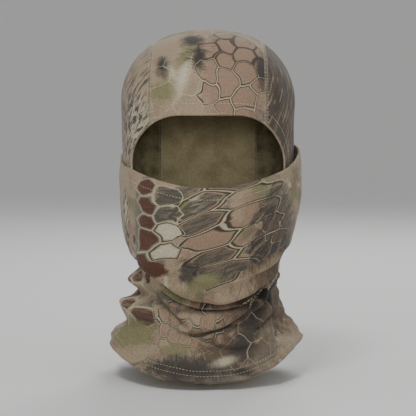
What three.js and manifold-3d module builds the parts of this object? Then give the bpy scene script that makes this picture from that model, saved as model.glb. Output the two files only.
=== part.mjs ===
// Camouflage balaclava with a pull-down face panel, shown as if worn.
// Millimetres, +Z up, the face looks along -Y and the wearer's left is +X.
// The origin is the centre of the head cavity, level with the ears.

import * as THREE from 'three';
import { mergeVertices } from 'three/addons/utils/BufferGeometryUtils.js';
import Module from 'manifold-3d';

const wasm = await Module();
wasm.setup();

// ---- driving dimensions ----

const FABRIC = 1.2;            // thickness of one layer of knitted cloth
const GAP = 0.3;               // clearance between layers that touch
const HEM_LAYER = 1.0;         // the turned-in layer of a hem
const THREAD = 0.5;            // height of a row of stitches above the cloth
const PANEL_STAND_OFF = 4.0;   // how far the loose face panel stands off the hood
const CHIN_STAND_OFF = 2.4;    // and the gathered cloth under the chin
const SQUARENESS = 2.25;       // exponent of the superelliptic cross-sections

const CROWN_HEIGHT = 69;       // from the widest level of the skull to the top
const CROWN_SQUARENESS = 2.2;
const SIDES = 40;              // facets around a cross-section
const CROWN_ROWS = 6;          // rows of facets over the crown

const CROWN_STRIP_FRONT = 52;  // half-width of the centre strip at the forehead
const CROWN_STRIP_BACK = 46;   // and at the nape
const SEAM_WIDTH = 4;          // flatlock seam over the crown
const NARROW_SEAM = 3;         // seams along the front cloth
const NECK_SEAM_END = -165;    // the neck seams stop above the bottom hem

const EYE_HALF_WIDTH = 69;     // opening in the front of the hood
const EYE_TOP = 42;
const EYE_CORNER = 36;
const CHIN_LEVEL = -72;        // the opening narrows below this level
const NECK_TOP = -147;         // top of the front neck piece
const NECK_HALF_WIDTH = 52;    // half-width of the front cloth at the neck
const JAW_LEVEL = -90;         // the front cloth narrows below this level
const JAW_HALF_WIDTH = 66;     // half-width of the front cloth just below it
const CHIN_BOTTOM_Z = -149;    // lower edge of the gathered chin
const OVERLAP = 2;             // how far the gathered chin laps over the side panels

const OPENING_HEM = 11;        // width of the hem round the opening
const PANEL_EAR_Z = 7;         // the face panel's top edge at the ears
const PANEL_NOSE_Z = -23;      // and over the nose
const PANEL_NOSE_Y = -104;
const PANEL_BOTTOM_Z = -83;    // lower edge of the stretch that slides
const PANEL_BACK_Y = 16;       // where the face panel is sewn in, behind the jaw
const PANEL_HEM = 11;

const HEM_HEIGHT = 14;         // the hem at the bottom edge
const HEM_ROWS_UP = [6, 11];   // the two needle rows, above the bottom edge
const NEEDLE_ROW = 1.4;        // width of one row of stitches

// Cross-sections from the widest level of the skull down to the bottom edge:
// height at the sides, half-width, front depth and height, back depth and height.
const SECTIONS = [
  [50, 80.0, 98, 50, 98, 50],
  [10, 79.0, 99, 10, 98, 10],
  [-35, 78.5, 98, -35, 90, -35],
  [-70, 74.5, 94, -71, 73, -66],
  [-95, 64.5, 81, -102, 63, -88],
  [-115, 63.5, 69, -124, 61, -106],
  [-135, 70.0, 71, -150, 67, -124],
  [-152, 79.0, 83, -173, 79, -142],
  [-167, 88.0, 95, -194, 90, -160],
];
const STEPS_PER_SECTION = 2;

// ---- the hood's surface ----

function smoothSections() {
  const places = SECTIONS.map((section, index) => index);
  const curve = new THREE.CubicInterpolant(places, SECTIONS.flat(), SECTIONS[0].length);
  const rows = [];
  const last = SECTIONS.length - 1;
  for (let step = 0; step <= last * STEPS_PER_SECTION; step += 1) {
    rows.push(Array.from(curve.evaluate(Math.min(step / STEPS_PER_SECTION, last - 1e-6))));
  }
  return rows;
}

// The row where the hem starts lies HEM_HEIGHT above the bottom edge.
function withHemRow(rows) {
  const bottom = rows.at(-1);
  const above = rows.at(-2);
  const share = HEM_HEIGHT / (above[0] - bottom[0]);
  const hemTop = bottom.map((value, k) => value + (above[k] - value) * share);
  return share < 0.9 ? [...rows.slice(0, -1), hemTop, bottom] : [...rows.slice(0, -2), hemTop, bottom];
}

const BODY_ROWS = withHemRow(smoothSections());

function power(value, exponent) {
  return Math.sign(value) * Math.abs(value) ** exponent;
}

// One point of a cross-section, moved outwards by `out`.
function sectionPoint(row, angle, out) {
  const [sideZ, halfWidth, front, frontZ, back, backZ] = row;
  const exponent = 2 / SQUARENESS;
  const along = -Math.cos(angle);
  const depth = along < 0 ? front : back;
  const endZ = along < 0 ? frontZ : backZ;
  return new THREE.Vector3(
    (halfWidth + out) * power(Math.sin(angle), exponent),
    (depth + out) * power(along, exponent),
    sideZ + (endZ - sideZ) * along * along,
  );
}

// Every row of points from just below the crown's top to the bottom edge.
function surfaceRows(out) {
  const widest = BODY_ROWS[0];
  const rows = [];
  for (let k = 1; k < CROWN_ROWS; k += 1) {
    const rise = (Math.PI / 2) * (1 - k / CROWN_ROWS);
    const spread = Math.cos(rise) ** (2 / CROWN_SQUARENESS);
    const lift = (CROWN_HEIGHT + out) * Math.sin(rise) ** (2 / CROWN_SQUARENESS);
    rows.push({ row: widest, spread, lift });
  }
  BODY_ROWS.forEach((row) => rows.push({ row, spread: 1, lift: 0 }));
  return rows.map(({ row, spread, lift }) => {
    const ring = [];
    for (let side = 0; side < SIDES; side += 1) {
      const point = sectionPoint(row, (2 * Math.PI * side) / SIDES, out);
      ring.push(new THREE.Vector3(point.x * spread, point.y * spread, point.z + lift));
    }
    return ring;
  });
}

function geometryFrom(points, triangles) {
  const geometry = new THREE.BufferGeometry();
  const values = points.flatMap((point) => [point.x, point.y, point.z]);
  geometry.setAttribute('position', new THREE.Float32BufferAttribute(values, 3));
  geometry.setIndex(triangles);
  return geometry;
}

// A filled form of the whole hood, `out` from its surface; `extra` lengthens the bottom.
function filledHood(out, extra = 0) {
  const rings = surfaceRows(out);
  if (extra > 0) {
    rings.push(rings.at(-1).map((point) => point.clone().setZ(point.z - extra)));
  }
  const top = new THREE.Vector3(0, 0, BODY_ROWS[0][0] + CROWN_HEIGHT + out);
  const base = new THREE.Vector3(0, 0, rings.at(-1)[0].z + 10);
  const points = [top, ...rings.flat(), base];
  const triangles = [];
  const at = (ring, side) => 1 + ring * SIDES + (side % SIDES);
  for (let side = 0; side < SIDES; side += 1) {
    triangles.push(0, at(0, side), at(0, side + 1));
    triangles.push(points.length - 1, at(rings.length - 1, side + 1), at(rings.length - 1, side));
    for (let ring = 0; ring < rings.length - 1; ring += 1) {
      triangles.push(at(ring, side), at(ring + 1, side), at(ring + 1, side + 1));
      triangles.push(at(ring, side), at(ring + 1, side + 1), at(ring, side + 1));
    }
  }
  return geometryFrom(points, triangles);
}

// ---- joining and cutting ----

const FAR = 260;               // beyond the whole hood in every direction
const FRONT_ONLY = -8;         // cuts in the front wall stop at this depth

function solid(geometry) {
  const bare = geometry.clone();
  bare.deleteAttribute('normal');
  bare.deleteAttribute('uv');
  const merged = mergeVertices(bare, 1e-4);
  return new wasm.Manifold(new wasm.Mesh({
    numProp: 3,
    vertProperties: Float32Array.from(merged.attributes.position.array),
    triVerts: Uint32Array.from(merged.index.array),
  }));
}

// The space between two offsets of the hood's surface.
function layer(inside, outside) {
  return solid(filledHood(outside)).subtract(solid(filledHood(inside, 12)));
}

function ribbon(low, thickness) {
  return layer(low, low + thickness);
}

// A prism over an outline in the XZ plane, from y = near to y = far.
function frontPrism(outline, near, far) {
  const geometry = new THREE.ExtrudeGeometry(new THREE.Shape(outline), {
    depth: far - near, bevelEnabled: false, curveSegments: 1,
  });
  geometry.rotateX(Math.PI / 2);
  geometry.translate(0, far, 0);
  return solid(geometry);
}

// A prism over an outline in the YZ plane, from x = near to x = far.
function sidePrism(outline, near, far) {
  const geometry = new THREE.ExtrudeGeometry(new THREE.Shape(outline), {
    depth: far - near, bevelEnabled: false, curveSegments: 1,
  });
  geometry.rotateY(Math.PI / 2);
  geometry.rotateX(Math.PI / 2);
  geometry.translate(near, 0, 0);
  return solid(geometry);
}

// A prism over an outline in the XY plane, from z = low to z = high.
function planPrism(outline, low, high) {
  const geometry = new THREE.ExtrudeGeometry(new THREE.Shape(outline), {
    depth: high - low, bevelEnabled: false, curveSegments: 1,
  });
  geometry.translate(0, 0, low);
  return solid(geometry);
}

const flat = (pairs) => pairs.map(([a, b]) => new THREE.Vector2(a, b));

// A wide outline from one height to another, and half of the plan.
const levels = (low, high) => flat([[-FAR, low], [FAR, low], [FAR, high], [-FAR, high]]);
const leftPlan = flat([[0, -FAR], [FAR, -FAR], [FAR, FAR], [0, FAR]]);

// ---- the cutting lines ----

// Half-width of the centre strip at depth y, as the two ends of a straight seam.
function stripOutline(grow) {
  const slope = (CROWN_STRIP_FRONT - CROWN_STRIP_BACK) / 200;
  const halfAt = (y) => (CROWN_STRIP_FRONT + CROWN_STRIP_BACK) / 2 - slope * y + grow;
  return flat([
    [-halfAt(-FAR), -FAR], [halfAt(-FAR), -FAR], [halfAt(FAR), FAR], [-halfAt(FAR), FAR],
  ]);
}

// The opening in the front of the hood, grown outwards by `grow`.
function openingOutline(grow) {
  const half = EYE_HALF_WIDTH + grow * 0.65;
  const top = EYE_TOP + grow;
  const corner = EYE_CORNER + grow * 0.6;
  const turns = 5;
  const points = [];
  for (let k = 0; k <= turns; k += 1) {
    const angle = (Math.PI / 2) * (k / turns);
    points.push([half - corner + corner * Math.cos(angle), top - corner + corner * Math.sin(angle)]);
  }
  const right = [[NECK_HALF_WIDTH + grow * 0.4, -FAR], [NECK_HALF_WIDTH + grow * 0.4, NECK_TOP],
    [half, CHIN_LEVEL], ...points];
  const left = right.map(([x, z]) => [-x, z]).reverse();
  return flat([...right, ...left]);
}

// The face panel's top edge falls from the ears to the nose; `drop` shifts it down.
function panelEdge(y, drop) {
  return PANEL_EAR_Z + ((PANEL_NOSE_Z - PANEL_EAR_Z) * y) / PANEL_NOSE_Y - drop;
}

function panelOutline(topDrop, bottomZ) {
  return flat([
    [-FAR, bottomZ], [PANEL_BACK_Y, bottomZ],
    [PANEL_BACK_Y, panelEdge(PANEL_BACK_Y, topDrop)], [-FAR, panelEdge(-FAR, topDrop)],
  ]);
}

const openFront = frontPrism(openingOutline(0), -FAR, FRONT_ONLY);
const strip = planPrism(stripOutline(-GAP / 2), -FAR, FAR);
const wideStrip = planPrism(stripOutline(GAP / 2), -FAR, FAR);

// ---- materials ----

const CLOTH = { roughness: 0.9, metalness: 0 };
const camoTan = new THREE.MeshStandardMaterial({ color: 0x9d8d74, ...CLOTH });
const camoKhaki = new THREE.MeshStandardMaterial({ color: 0x8d8468, ...CLOTH });
const camoBrown = new THREE.MeshStandardMaterial({ color: 0x7d6c58, ...CLOTH });
const camoHem = new THREE.MeshStandardMaterial({ color: 0x857561, ...CLOTH });
const thread = new THREE.MeshStandardMaterial({ color: 0xb3a88c, ...CLOTH, roughness: 0.7 });

const balaclava = new THREE.Group();

function add(name, body, material) {
  const { numProp, vertProperties, triVerts } = body.getMesh();
  const points = [];
  for (let k = 0; k < vertProperties.length; k += numProp) {
    points.push(new THREE.Vector3().fromArray(vertProperties, k));
  }
  const geometry = geometryFrom(points, Array.from(triVerts));
  geometry.computeVertexNormals();
  const mesh = new THREE.Mesh(geometry, material);
  mesh.name = name;
  balaclava.add(mesh);
}

// ---- hood: a centre strip and two sides, cut from one layer of cloth ----

const hood = layer(-FABRIC, 0).subtract(openFront);
add('crown_panel', hood.intersect(strip), camoTan);

const sides = hood.subtract(wideStrip);
const leftHalf = planPrism(leftPlan, -FAR, FAR);
add('side_panel_left', sides.intersect(leftHalf), camoKhaki);
add('side_panel_right', sides.subtract(leftHalf), camoKhaki);

// ---- front cloth: sliding face panel, gathered chin and still neck piece ----

const panelLayer = layer(PANEL_STAND_OFF - FABRIC, PANEL_STAND_OFF);
add('face_panel', panelLayer.intersect(sidePrism(panelOutline(0, PANEL_BOTTOM_Z), -FAR, FAR)), camoBrown);

const chinLayer = layer(CHIN_STAND_OFF - FABRIC, CHIN_STAND_OFF);
const chinZone = sidePrism(flat([
  [-FAR, CHIN_BOTTOM_Z], [PANEL_BACK_Y, CHIN_BOTTOM_Z],
  [PANEL_BACK_Y, PANEL_BOTTOM_Z - 2 * GAP], [-FAR, PANEL_BOTTOM_Z - 2 * GAP],
]), -FAR, FAR);
const chinEdge = [
  [NECK_HALF_WIDTH + OVERLAP, CHIN_BOTTOM_Z], [JAW_HALF_WIDTH, JAW_LEVEL - 8], [FAR, JAW_LEVEL], [FAR, 0],
];
const chinTaper = frontPrism(flat([
  ...chinEdge, ...chinEdge.map(([x, z]) => [-x, z]).reverse(),
]), -FAR, PANEL_BACK_Y + 1);
add('chin_gather', chinLayer.intersect(chinZone).intersect(chinTaper), camoBrown);

const neckPatch = (low, half) => frontPrism(
  flat([[-half, -FAR], [half, -FAR], [half, low], [-half, low]]), -FAR, FRONT_ONLY,
);
const neckZone = neckPatch(NECK_TOP, NECK_HALF_WIDTH - GAP);
add('neck_front', layer(-FABRIC, 0).intersect(neckZone), camoBrown);

// ---- hems: the turned-in layers behind each edge ----

const hemLayer = ribbon(-FABRIC - GAP - HEM_LAYER, HEM_LAYER);
const aboveChin = frontPrism(levels(CHIN_LEVEL, FAR), -FAR, FRONT_ONLY);
const openingFrame = frontPrism(openingOutline(OPENING_HEM), -FAR, FRONT_ONLY).subtract(openFront);
add('opening_hem', hemLayer.intersect(openingFrame).intersect(aboveChin), camoHem);

const panelHemLayer = ribbon(PANEL_STAND_OFF - FABRIC - GAP - HEM_LAYER, HEM_LAYER);
const panelHemZone = sidePrism(panelOutline(0, -FAR), -FAR, FAR)
  .subtract(sidePrism(panelOutline(PANEL_HEM, -FAR - 1), -FAR, FAR));
add('face_panel_hem', panelHemLayer.intersect(panelHemZone), camoHem);

// A closed band near the bottom edge, from `low` to `high` above it.
function bottomBand(low, high, inside, outside) {
  const corners = [[low, inside], [low, outside], [high, outside], [high, inside]];
  const points = [];
  const triangles = [];
  for (let side = 0; side < SIDES; side += 1) {
    corners.forEach(([up, out]) => {
      const rings = surfaceRows(out);
      const share = up / HEM_HEIGHT;
      points.push(rings.at(-1)[side].clone().lerp(rings.at(-2)[side], share));
    });
    const here = side * 4;
    const next = ((side + 1) % SIDES) * 4;
    for (let k = 0; k < 4; k += 1) {
      const after = (k + 1) % 4;
      triangles.push(here + k, next + after, here + after);
      triangles.push(here + k, next + k, next + after);
    }
  }
  return solid(geometryFrom(points, triangles));
}
const hemInside = -FABRIC - GAP - HEM_LAYER;
add('bottom_hem', bottomBand(0, HEM_HEIGHT - 0.5, hemInside, hemInside + HEM_LAYER), camoHem);

// ---- seams and stitch rows, laid on the cloth ----

const seamLayer = ribbon(GAP, THREAD);
const seamStrip = planPrism(stripOutline(SEAM_WIDTH / 2), -FAR, FAR)
  .subtract(planPrism(stripOutline(-SEAM_WIDTH / 2), -FAR - 1, FAR + 1));
const hemLine = SECTIONS.at(-1)[5] + HEM_HEIGHT + 3;
const clearOfHem = frontPrism(levels(hemLine, FAR), -FAR, FAR);
const clearOfStitch = frontPrism(openingOutline(OPENING_HEM + 0.5), -FAR, FRONT_ONLY);
const crownSeams = seamLayer.intersect(seamStrip).intersect(clearOfHem).subtract(clearOfStitch);
const openingStitchZone = frontPrism(openingOutline(OPENING_HEM - 1), -FAR, FRONT_ONLY)
  .subtract(frontPrism(openingOutline(OPENING_HEM - 1 - NEEDLE_ROW), -FAR - 1, FRONT_ONLY + 1));
add('crown_seam_left', crownSeams.intersect(leftHalf), thread);
add('crown_seam_right', crownSeams.subtract(leftHalf), thread);
add('opening_stitch', seamLayer.intersect(openingStitchZone).intersect(aboveChin), thread);

const panelStitchLayer = ribbon(PANEL_STAND_OFF + GAP, THREAD);
const panelStitchZone = sidePrism(panelOutline(PANEL_HEM - 1 - NEEDLE_ROW, -FAR), -FAR, FAR)
  .subtract(sidePrism(panelOutline(PANEL_HEM - 1, -FAR - 1), -FAR, FAR));
add('face_panel_stitch', panelStitchLayer.intersect(panelStitchZone), thread);

const neckSeams = seamLayer
  .intersect(frontPrism(levels(NECK_SEAM_END, CHIN_BOTTOM_Z - GAP), -FAR, FRONT_ONLY))
  .intersect(neckPatch(0, NECK_HALF_WIDTH + NARROW_SEAM / 2))
  .subtract(neckPatch(1, NECK_HALF_WIDTH - NARROW_SEAM / 2));
add('neck_seam_left', neckSeams.intersect(leftHalf), thread);
add('neck_seam_right', neckSeams.subtract(leftHalf), thread);

// Where the face panel is sewn to the hood, just behind the jaw.
const jawSeams = seamLayer.intersect(sidePrism(flat([
  [PANEL_BACK_Y + GAP, PANEL_BOTTOM_Z], [PANEL_BACK_Y + GAP + NARROW_SEAM, PANEL_BOTTOM_Z],
  [PANEL_BACK_Y + GAP + NARROW_SEAM, PANEL_EAR_Z], [PANEL_BACK_Y + GAP, PANEL_EAR_Z],
]), -FAR, FAR));
add('jaw_seam_left', jawSeams.intersect(leftHalf), thread);
add('jaw_seam_right', jawSeams.subtract(leftHalf), thread);

['hem_stitch_lower', 'hem_stitch_upper'].forEach((name, k) => {
  const up = HEM_ROWS_UP[k];
  add(name, bottomBand(up, up + NEEDLE_ROW, GAP, GAP + THREAD), thread);
});

export default balaclava;
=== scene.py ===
# %% [markdown]
# # A camouflage balaclava with a pull-down face panel
#
# The object is a stretch hood, sewn from four cloths: a strip over the crown and down the back, two sides,
# and a loose cloth in front that covers nose, mouth and chin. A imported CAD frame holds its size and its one
# moving body. This lesson drapes fine cloth over that frame: first the shape of the worn hood as a formula,
# then the cloths with their folds, then hems and stitches, and last the printed knit and the studio.

import math

import bpy
import numpy as np
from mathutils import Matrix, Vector


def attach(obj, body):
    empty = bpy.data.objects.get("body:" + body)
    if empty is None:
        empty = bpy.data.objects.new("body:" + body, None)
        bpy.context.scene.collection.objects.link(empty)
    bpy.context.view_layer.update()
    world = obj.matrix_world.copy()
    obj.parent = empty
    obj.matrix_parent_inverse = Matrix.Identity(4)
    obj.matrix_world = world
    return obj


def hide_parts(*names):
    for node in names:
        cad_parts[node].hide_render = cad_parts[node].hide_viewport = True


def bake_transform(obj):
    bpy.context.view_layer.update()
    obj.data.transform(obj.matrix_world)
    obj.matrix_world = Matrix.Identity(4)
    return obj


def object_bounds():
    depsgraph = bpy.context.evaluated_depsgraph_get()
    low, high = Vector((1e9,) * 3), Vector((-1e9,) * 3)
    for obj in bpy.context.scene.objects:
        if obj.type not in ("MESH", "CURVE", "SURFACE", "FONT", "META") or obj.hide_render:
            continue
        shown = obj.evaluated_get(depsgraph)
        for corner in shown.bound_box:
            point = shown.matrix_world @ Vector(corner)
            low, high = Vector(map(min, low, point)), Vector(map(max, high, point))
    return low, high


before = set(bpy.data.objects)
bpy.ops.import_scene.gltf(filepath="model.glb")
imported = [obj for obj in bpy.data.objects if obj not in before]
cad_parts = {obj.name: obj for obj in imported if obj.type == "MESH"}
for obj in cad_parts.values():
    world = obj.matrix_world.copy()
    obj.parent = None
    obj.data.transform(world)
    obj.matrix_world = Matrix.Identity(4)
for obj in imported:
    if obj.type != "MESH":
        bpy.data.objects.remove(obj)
CAD_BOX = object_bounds()
MM = 0.001

# %% [markdown]
# ## The worn shape
#
# A knitted hood takes the shape of the head in it. That shape could be sculpted, but a loft is easier to cut
# into panels: a few cross-sections from the widest level of the skull down to the bottom edge, smoothed
# between, with a superellipsoid for the crown. Every cloth, hem and stitch below is placed on this one
# surface, so the panels meet exactly at their seams.

# %% The hood's surface
# Each row: height at the sides, half-width, front depth and height, back depth and height, in mm.
SECTIONS = MM * np.array([
    [50, 80.0, 98, 50, 98, 50],
    [10, 79.0, 99, 10, 98, 10],
    [-35, 78.5, 98, -35, 90, -35],
    [-70, 74.5, 94, -71, 73, -66],
    [-95, 64.5, 81, -102, 63, -88],
    [-115, 63.5, 69, -124, 61, -106],
    [-135, 70.0, 71, -150, 67, -124],
    [-152, 79.0, 83, -173, 79, -142],
    [-167, 88.0, 95, -194, 90, -160],
])
BOTTOM = len(SECTIONS) - 1        # the level of the bottom edge
SQUARENESS = 2.25                 # 2 would make each section of ellipse quarters
CROWN_SQUARENESS = 2.2
CROWN_HEIGHT = 69 * MM
HEAD_MIDDLE = np.array([0, 0, -20 * MM])
FLATTEN = np.array([1, 1, 0.35])  # "outward" is mostly sideways on so tall a shape


def power(value, exponent):
    """A power that keeps the value's sign."""
    return np.sign(value) * np.abs(value) ** exponent


def section_at(level):
    """The cross-section at a level from 0, the widest, to BOTTOM, on a cubic through the table."""
    ends = [2 * SECTIONS[0] - SECTIONS[1]], [2 * SECTIONS[-1] - SECTIONS[-2]]
    table = np.concatenate([ends[0], SECTIONS, ends[1]])
    level = np.clip(level, 0, BOTTOM)
    k = np.minimum(level.astype(int), BOTTOM - 1)
    t = (level - k)[..., None]
    before, here, after, beyond = (table[k + step] for step in range(4))
    return (
        (2 * t**3 - 3 * t**2 + 1) * here
        + (t**3 - 2 * t**2 + t) * (after - before) / 2
        + (3 * t**2 - 2 * t**3) * after
        + (t**3 - t**2) * (beyond - here) / 2
    )


def hood_point(angle, level):
    """A point of the smooth hood. angle is 0 at the nose, a right angle at the wearer's left ear.
    level is -1 at the crown's top, 0 at the widest and BOTTOM at the bottom edge."""
    angle, level = np.broadcast_arrays(np.asarray(angle, float), np.asarray(level, float))
    side_z, half_width, front, front_z, back, back_z = np.moveaxis(section_at(np.maximum(level, 0)), -1, 0)
    rise = np.clip(-level, 0, 1) * math.pi / 2
    spread = np.cos(rise) ** (2 / CROWN_SQUARENESS)
    lift = CROWN_HEIGHT * np.sin(rise) ** (2 / CROWN_SQUARENESS)
    along = -np.cos(angle)
    depth = np.where(along < 0, front, back)
    end_z = np.where(along < 0, front_z, back_z)
    x = half_width * power(np.sin(angle), 2 / SQUARENESS) * spread
    y = depth * power(along, 2 / SQUARENESS) * spread
    z = side_z + (end_z - side_z) * along**2 + lift
    return np.stack([x, y, z], -1)


def grid_normals(points):
    """Outward unit normals of a grid of points, from its neighbours."""
    down = np.gradient(points, axis=0)
    across = np.gradient(points, axis=1)
    normal = np.cross(across, -down)
    length = np.linalg.norm(normal, axis=-1, keepdims=True)
    normal = normal / np.maximum(length, 1e-12)
    outward = (points - HEAD_MIDDLE) * FLATTEN
    sign = np.sign((normal * outward).sum(-1, keepdims=True).mean())
    return normal * (sign if sign else 1)


def smooth(value):
    """0 below 0 and 1 above 1, with a soft start and end."""
    value = np.clip(value, 0, 1)
    return value * value * (3 - 2 * value)


def hood_normal(angle, level):
    """The outward unit normal of the smooth hood."""
    step = 1e-3
    turn = hood_point(angle + step, level) - hood_point(angle - step, level)
    fall = hood_point(angle, level + step) - hood_point(angle, level - step)
    normal = np.cross(fall, turn)
    normal /= np.maximum(np.linalg.norm(normal, axis=-1, keepdims=True), 1e-12)
    outward = hood_point(angle, level) * FLATTEN
    return normal * np.sign((normal * outward).sum(-1, keepdims=True))


def hood_place(points):
    """The angle and level of the hood's surface under each point."""
    x, y, z = np.moveaxis(points, -1, 0)
    level = np.interp(-z, -SECTIONS[:, 0], np.arange(len(SECTIONS)))
    for _ in range(24):
        sections = section_at(level)
        depth = np.where(y < 0, sections[..., 2], sections[..., 4])
        angle = np.arctan2(power(x / sections[..., 1], SQUARENESS / 2), power(-y / depth, SQUARENESS / 2))
        level = np.clip(level + (hood_point(angle, level)[..., 2] - z) / (40 * MM), 0, BOTTOM)
    rise = np.arcsin(np.clip((z - SECTIONS[0, 0]) / CROWN_HEIGHT, 0, 1) ** (CROWN_SQUARENESS / 2))
    return angle, np.where(rise > 0, -rise * 2 / math.pi, level)


print("hood surface:", len(SECTIONS), "sections; at the ears", hood_point(math.pi / 2, 1.0).round(4))

# %% [markdown]
# ## Folds
#
# Loose cloth that hangs over a neck forms rolls: the cloth above a crease swells out and droops over it, and
# below the crease it tucks in. A cloth simulation gives rolls too, but not in chosen places. Here each crease
# is a line across the cloth, given by a few points, and one function turns it into an overhanging
# roll. Softer bulges and a low ripple, a sum of seeded waves, keep the stretches between from looking
# machined. Where the sides run on under the front cloth they are tucked in, so that its creases have room.

# %% Ripples, bulges and creases
def ripple(points, size, seed, waves=9):
    """A smooth wavy value from about -1 to 1, with features about `size` across."""
    chance = np.random.default_rng(seed)
    total = np.zeros(points.shape[:-1])
    for _ in range(waves):
        direction = chance.normal(size=3)
        direction *= 2 * math.pi / (size * chance.uniform(0.8, 1.7) * np.linalg.norm(direction))
        total += np.sin(points @ direction + chance.uniform(0, 2 * math.pi))
    return total / math.sqrt(waves)


def bulge(points, spot):
    """A soft hill: spot is (angle in degrees, height in mm, half-height, half-angle, amount in mm)."""
    middle, height, tall, wide, amount = spot
    angle = np.degrees(np.arctan2(points[..., 0], -points[..., 1]))
    turn = (angle - middle + 180) % 360 - 180
    rise = np.abs(points[..., 2] / MM - height) / tall
    return amount * MM * np.exp(-(turn / wide) ** 2 - rise**2.6)


def crease(points, line, roll, droop, reach):
    """The swell, the recess and the droop of an overhanging roll.

    line holds (x, z, strength) points, in mm.
    """
    x, z = points[..., 0] / MM, points[..., 2] / MM
    places = np.array(line, float)
    height = np.interp(x, places[:, 0], places[:, 1])
    for _ in range(2):
        height = (height + np.interp(x - 4, places[:, 0], places[:, 1])
                  + np.interp(x + 4, places[:, 0], places[:, 1])) / 3
    strength = np.interp(x, places[:, 0], places[:, 2], left=0, right=0)
    above = (z - height) / reach
    swell = np.where(above > 0, above * np.exp(1 - above), 0)
    recess = np.exp(-((above + 0.25) / 0.5) ** 2)
    sink = np.exp(-((above - 0.45) / 0.5) ** 2)
    return strength * roll * MM * swell, strength * roll * MM * recess, strength * droop * MM * sink


# %% How the hood's own layer moves
# Each bulge: angle in degrees, height in mm, half-height in mm, half-angle in degrees, amount in mm.
HOOD_BULGES = [
    (-85, -111, 7.0, 30, 11.0), (-78, -123, 4.5, 40, -2.0), (-78, -137, 8, 38, 13.0),
    (-82, -152, 5, 40, -5.5),
    (78, -107, 6, 30, 4.0), (74, -127, 9, 26, -7.0), (62, -138, 12, 10, -6.0), (66, -154, 8, 12, -8.0),
    (84, -165, 8, 26, 3.0), (88, -143, 7, 16, -3.0),
    (150, -97, 6, 40, 3.0), (172, -110, 4.5, 60, -3.0), (200, -121, 6, 55, 4.0), (176, -134, 5, 60, -2.5),
]
LEAN = 3.5 * MM
LEAN_TOP = -125 * MM


def lean(points):
    """The bottom edge hangs a little towards the wearer's right."""
    points = points.copy()
    points[..., 0] -= LEAN * smooth((LEAN_TOP - points[..., 2]) / (45 * MM))
    return points


def hood_swell(points):
    """How far the hood's own layer moves out at each point."""
    low = smooth((-78 * MM - points[..., 2]) / (25 * MM))
    out = sum(bulge(points, spot) for spot in HOOD_BULGES)
    out = out + low * 1.6 * MM * ripple(points * [1, 1, 1.8], 46 * MM, seed=3)
    out = out + 0.35 * MM * ripple(points, 38 * MM, seed=5)
    return out + low * 0.8 * MM * ripple(points * [1, 1, 2.4], 20 * MM, seed=8)


# The front cloth's seams: height, and distance from the middle on the wearer's right and left, in mm.
SEAM_LINE = np.array([[-88, 66, 66], [-98, 61, 61.7], [-118, 46.7, 57], [-140, 44.6, 60], [-160, 48, 64.5],
                      [-184, 53.7, 65.6]])
TUCK = MM * np.array([16, 14, 0])  # how deep the sides lie under the front cloth at the next three heights
TUCK_HEIGHTS = MM * np.array([-100, -145, -172])


def tuck(points):
    """How far in the sides' hidden edges lie, so that the front cloth's creases have room."""
    x, y, z = np.moveaxis(points, -1, 0)
    seam_x = np.where(x < 0, *(MM * np.interp(-z / MM, -SEAM_LINE[:, 0], SEAM_LINE[:, k]) for k in (1, 2)))
    depth = np.interp(-z, -TUCK_HEIGHTS, TUCK)
    in_front = smooth((seam_x - np.abs(x)) / (8 * MM)) * (y < 0)
    return depth * in_front * smooth((-86 * MM - z) / (12 * MM))


def hood_folds(points, normals):
    """The hood's own layer with its folds; the same place always moves the same way."""
    return lean(points + (hood_swell(points) - tuck(points))[..., None] * normals)


print("hood folds:", len(HOOD_BULGES), "bulges; tucked in by up to", round(TUCK.max() / MM), "mm")

# %% [markdown]
# ## Cloth as a mesh
#
# A knit is about a millimetre thick and its two sides differ: print outside, plain yarn inside. A single
# surface with a Solidify modifier would do, but building both faces here keeps the seams exact and gives each
# side its own material slot. Each vertex also keeps its place on the flat cloth, so that the print stays on
# the cloth wherever folds or the moving panel carry it.

# %% Places on the flat cloth
KNIT = 0.9 * MM                   # thickness of the cloth
PIECES = []


def across_and_up(points):
    """Places on a cloth that lies round the face: the way round from the middle, and the height."""
    turn = np.linalg.norm(np.diff(points[..., :2], axis=1), axis=-1)
    turn = np.concatenate([np.zeros((len(points), 1)), np.cumsum(turn, axis=1)], axis=1)
    middle = np.array([np.interp(0, row_x, row) for row_x, row in zip(points[..., 0], turn)])
    return turn - middle[:, None], points[..., 2]


def along_strip(points):
    """Places on a long strip: x across it, and the way down it from the first row."""
    middle = points.shape[1] // 2
    steps = np.linalg.norm(np.diff(points[:, middle], axis=0), axis=-1)
    run = np.concatenate([[0], np.cumsum(steps)])
    return points[..., 0], np.broadcast_to(run[:, None], points.shape[:2])


def from_the_side(points):
    """Places on a side panel: how far forward, and the height."""
    return -points[..., 1], points[..., 2]


# %% Cloth builder
def new_mesh(name, vertices, faces, materials, face_slots=None, places=None):
    """A smooth mesh piece; places are its points on the flat cloth, for the print."""
    mesh = bpy.data.meshes.new(name)
    mesh.from_pydata([tuple(v) for v in vertices], [], [tuple(f) for f in faces])
    for material in materials:
        mesh.materials.append(material)
    if face_slots is not None:
        mesh.polygons.foreach_set("material_index", np.asarray(face_slots, np.int32))
    mesh.polygons.foreach_set("use_smooth", np.ones(len(mesh.polygons), bool))
    if places is not None:
        attribute = mesh.attributes.new("cloth_place", "FLOAT_VECTOR", "POINT")
        attribute.data.foreach_set("vector", np.asarray(places, np.float32).ravel())
    mesh.validate()
    mesh.update()
    piece = bpy.data.objects.new(name, mesh)
    bpy.context.scene.collection.objects.link(piece)
    PIECES.append(piece)
    return piece


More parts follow.
